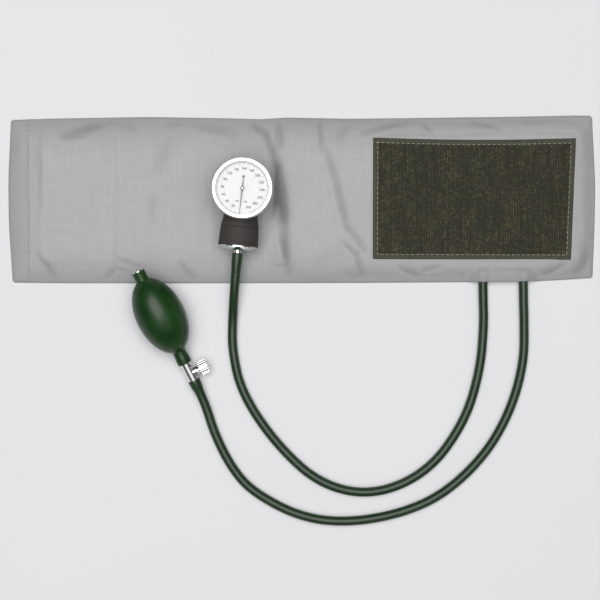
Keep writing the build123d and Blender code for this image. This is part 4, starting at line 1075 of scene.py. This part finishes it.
def tick_tree(name, material, sizes):
    """Ticks round a dial, clockwise from the bottom, with every fifth one longer"""
    tree, given = geometry_tree(name, sizes)
    number = add_node(tree, "GeometryNodeInputIndex").outputs[0]
    fifth = worked_out(tree, "MODULO", number, 5.0)
    is_long = worked_out(tree, "LESS_THAN", fifth, 0.5)
    length_inputs = {0: is_long, 3: given["Short"], 4: given["Long"]}
    length = add_node(tree, "ShaderNodeMapRange", length_inputs).outputs[0]
    turn = worked_out(tree, "MULTIPLY", number, given["Turn Between"])
    euler = combined(tree, Z=worked_out(tree, "MULTIPLY", turn, -1.0))
    half = worked_out(tree, "MULTIPLY", length)
    reach = worked_out(tree, "SUBTRACT", half, given["Outer Radius"])
    turn_inputs = {"Vector": combined(tree, Y=reach), "Rotation": euler}
    place = add_node(tree, "ShaderNodeVectorRotate", turn_inputs, rotation_type="EULER_XYZ")
    count_inputs = {"Count": given["Ticks"], "Position": place.outputs[0]}
    points = add_node(tree, "GeometryNodePoints", count_inputs).outputs[0]
    size = combined(tree, X=given["Width"], Y=length, Z=given["Ink Height"])
    block = add_node(tree, "GeometryNodeMeshCube", {"Size": (1, 1, 1)}).outputs[0]
    turned = add_node(tree, "FunctionNodeEulerToRotation", {0: euler}).outputs[0]
    copies = {"Points": points, "Instance": block, "Rotation": turned, "Scale": size}
    return finish_tree(tree, copies, material, smooth=False)


def printed(words, size, place):
    """Points and faces of one printed word, centred on a place on the dial"""
    curve = bpy.data.curves.new("word", "FONT")
    curve.body = words
    curve.size = size * millimetre
    curve.offset = ink_spread * millimetre
    curve.align_x = "CENTER"
    curve.align_y = "CENTER"
    curve.extrude = ink_height / 2
    curve.resolution_u = 4
    word = new_object("word", curve)
    bpy.context.view_layer.update()
    mesh = bpy.data.meshes.new_from_object(word)
    bpy.data.objects.remove(word)
    mesh.transform(dial_turn @ Matrix.Translation(Vector((*place, 0)) * millimetre))
    points = [vertex.co.copy() for vertex in mesh.vertices]
    return points, [tuple(polygon.vertices) for polygon in mesh.polygons]


tick_sizes = {
    "Ticks": scale_end // scale_step + 1,
    "Turn Between": radians(scale_step * degrees_each),
    "Outer Radius": 0.0226,
    "Short": 0.0013,
    "Long": 0.0023,
    "Width": 0.00022,
    "Ink Height": ink_height,
}
ticks = tick_tree("dial_ticks", ink, tick_sizes)
dial_ticks = grown("dial_ticks", ticks, tick_sizes, place=dial_turn)
words = [(text, unit_size, place) for text, place in unit_places]
for value in range(20, scale_end + 1, 20):
    angle = radians(value * degrees_each)
    place = (-number_radius * sin(angle), -number_radius * cos(angle))
    words.append((str(value), number_size, place))
number_points = []
number_faces = []
for text, size, place in words:
    points, faces = printed(text, size, place)
    first = len(number_points)
    number_points += points
    number_faces += [tuple(first + corner for corner in face) for face in faces]
dial_numbers = mesh_piece("dial_numbers", number_points, number_faces, smooth=False)
dial_numbers.data.materials.append(ink)
for piece in (dial_ticks, dial_numbers):
    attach(piece, "root")

# Bulb. A hand-sized egg of green rubber, moulded hollow with a thick wall and a short neck at
# each end, polished by the mould. The intake valve is pressed into the far neck, and the
# release valve into the near one.

bulb_middle = Vector((-122.5, -100.5, 21.675))
bulb_along = Vector((0.42878, -0.88304, -0.19081))
bulb_side = Vector((0.89956, 0.43680, 0.0))
bulb_up = bulb_side.cross(bulb_along)
bulb_radius = 20.96
bulb_half_length = 35.1
bulb_wall = 2.3
far_neck_end = -42.7
near_neck_end = 47.0
neck_radius = 5.5
neck_bore = 3.22
neck_flare = 0.3
flare_place = 40.0
neck_blend = 2.2
bulb_sides = 128
mould_line = 0.12
bulb_green = (0.003, 0.027, 0.003)
bulb_bloom = (0.013, 0.056, 0.009)


def egg_radius(station, radius, half_length):
    """Radius of an egg at a station along its axis, nothing past its ends"""
    return radius * np.sqrt(np.clip(1 - (station / half_length) ** 2, 0, 1))


def outer_radius(station):
    """Radius of the bulb's outside: egg, necks and the soft blends between them"""
    neck = neck_radius + neck_flare * (1 + np.tanh((station - flare_place) / 2.0))
    egg = egg_radius(station, bulb_radius, bulb_half_length)
    return 0.5 * (egg + neck + np.sqrt((egg - neck) ** 2 + neck_blend))


bulb_stations = np.linspace(far_neck_end + 0.6, near_neck_end - 0.7, 150)
bulb_section = [(far_neck_end, neck_bore + 0.2), (far_neck_end, neck_radius - 0.1)]
bulb_section += [(far_neck_end + 0.2, neck_radius + 0.35)]
bulb_section += [(station, outer_radius(station)) for station in bulb_stations]
bulb_section += [(near_neck_end - 0.2, neck_radius + 0.4), (near_neck_end, neck_radius)]
bulb_section += [(near_neck_end, neck_bore + 0.2)]
for station in bulb_stations[::-1]:
    hollow = egg_radius(station, bulb_radius - bulb_wall, bulb_half_length - bulb_wall)
    bulb_section.append((station, max(hollow, neck_bore)))
bulb_points = []
for station, radius in bulb_section:
    for step in range(bulb_sides):
        angle = 2 * pi * step / bulb_sides
        off_line = min(abs(angle - pi), angle, 2 * pi - angle)
        line = mould_line if off_line < pi / bulb_sides and radius > neck_bore + 1 else 0.0
        spoke = cos(angle) * bulb_side + sin(angle) * bulb_up
        place = bulb_middle + float(station) * bulb_along + float(radius + line) * spoke
        bulb_points.append(place * millimetre)
bulb = mesh_piece("squeeze_bulb", bulb_points, ring_faces(len(bulb_section), bulb_sides, True))
bulb.data.materials.append(rubber("bulb_rubber", bulb_green, bulb_bloom, 0.33, 45.0, 0.36))
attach(bulb, "root")
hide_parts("bulb")

# Table and light. A plain pale table top under one large soft window almost overhead, in a grey
# room with a white ceiling: the shadows stay close round what stands high.

table_half = 1.6
table_colour = (0.80, 0.80, 0.815)
window_side = 1.8
window_place = Vector((-0.15, 0.12, 2.4))
window_aim = Vector((0, -0.05, 0))
window_watts = 39.0
table_corners = [(-1, -1, 0), (1, -1, 0), (1, 1, 0), (-1, 1, 0)]
table_points = [Vector(corner) * table_half for corner in table_corners]
table = mesh_piece("table", table_points, [(0, 1, 2, 3)])
table_top, tree, surface, place = start_material("table_top")
mottle = noise(tree, place, 3.0, 2.0)
pale = tuple(channel * 0.985 for channel in table_colour)
looks = {
    "Base Color": ramp(tree, mottle, (0.3, pale), (0.7, table_colour)),
    "Roughness": 0.85,
    "Specular IOR Level": 0.2,
}
fill(tree, surface, looks)
table.data.materials.append(table_top)

window = new_object("window", bpy.data.lights.new("window", "AREA"))
window.data.shape = "RECTANGLE"
window.data.size = window_side
window.data.size_y = window_side
window.data.energy = window_watts
window.location = window_place
window.rotation_euler = (window_aim - window_place).to_track_quat("-Z", "Y").to_euler()

room = bpy.data.worlds.new("room")
room.use_nodes = True
tree = room.node_tree
tree.nodes.clear()
direction = add_node(tree, "ShaderNodeTexCoord").outputs["Generated"]
facing = add_node(
    tree, "ShaderNodeVectorMath", {0: direction, 1: (0.04, 0.0, 0.999)}, operation="DOT_PRODUCT"
)
walls = ramp(tree, facing.outputs["Value"], (0.0, 0.28), (0.35, 0.09), (0.76, 0.13), (0.86, 1.0))
glow = add_node(tree, "ShaderNodeBackground", {"Color": walls, "Strength": 1.0}).outputs[0]
add_node(tree, "ShaderNodeOutputWorld", {"Surface": glow})
bpy.context.scene.world = room
bpy.context.scene.view_settings.view_transform = "Standard"
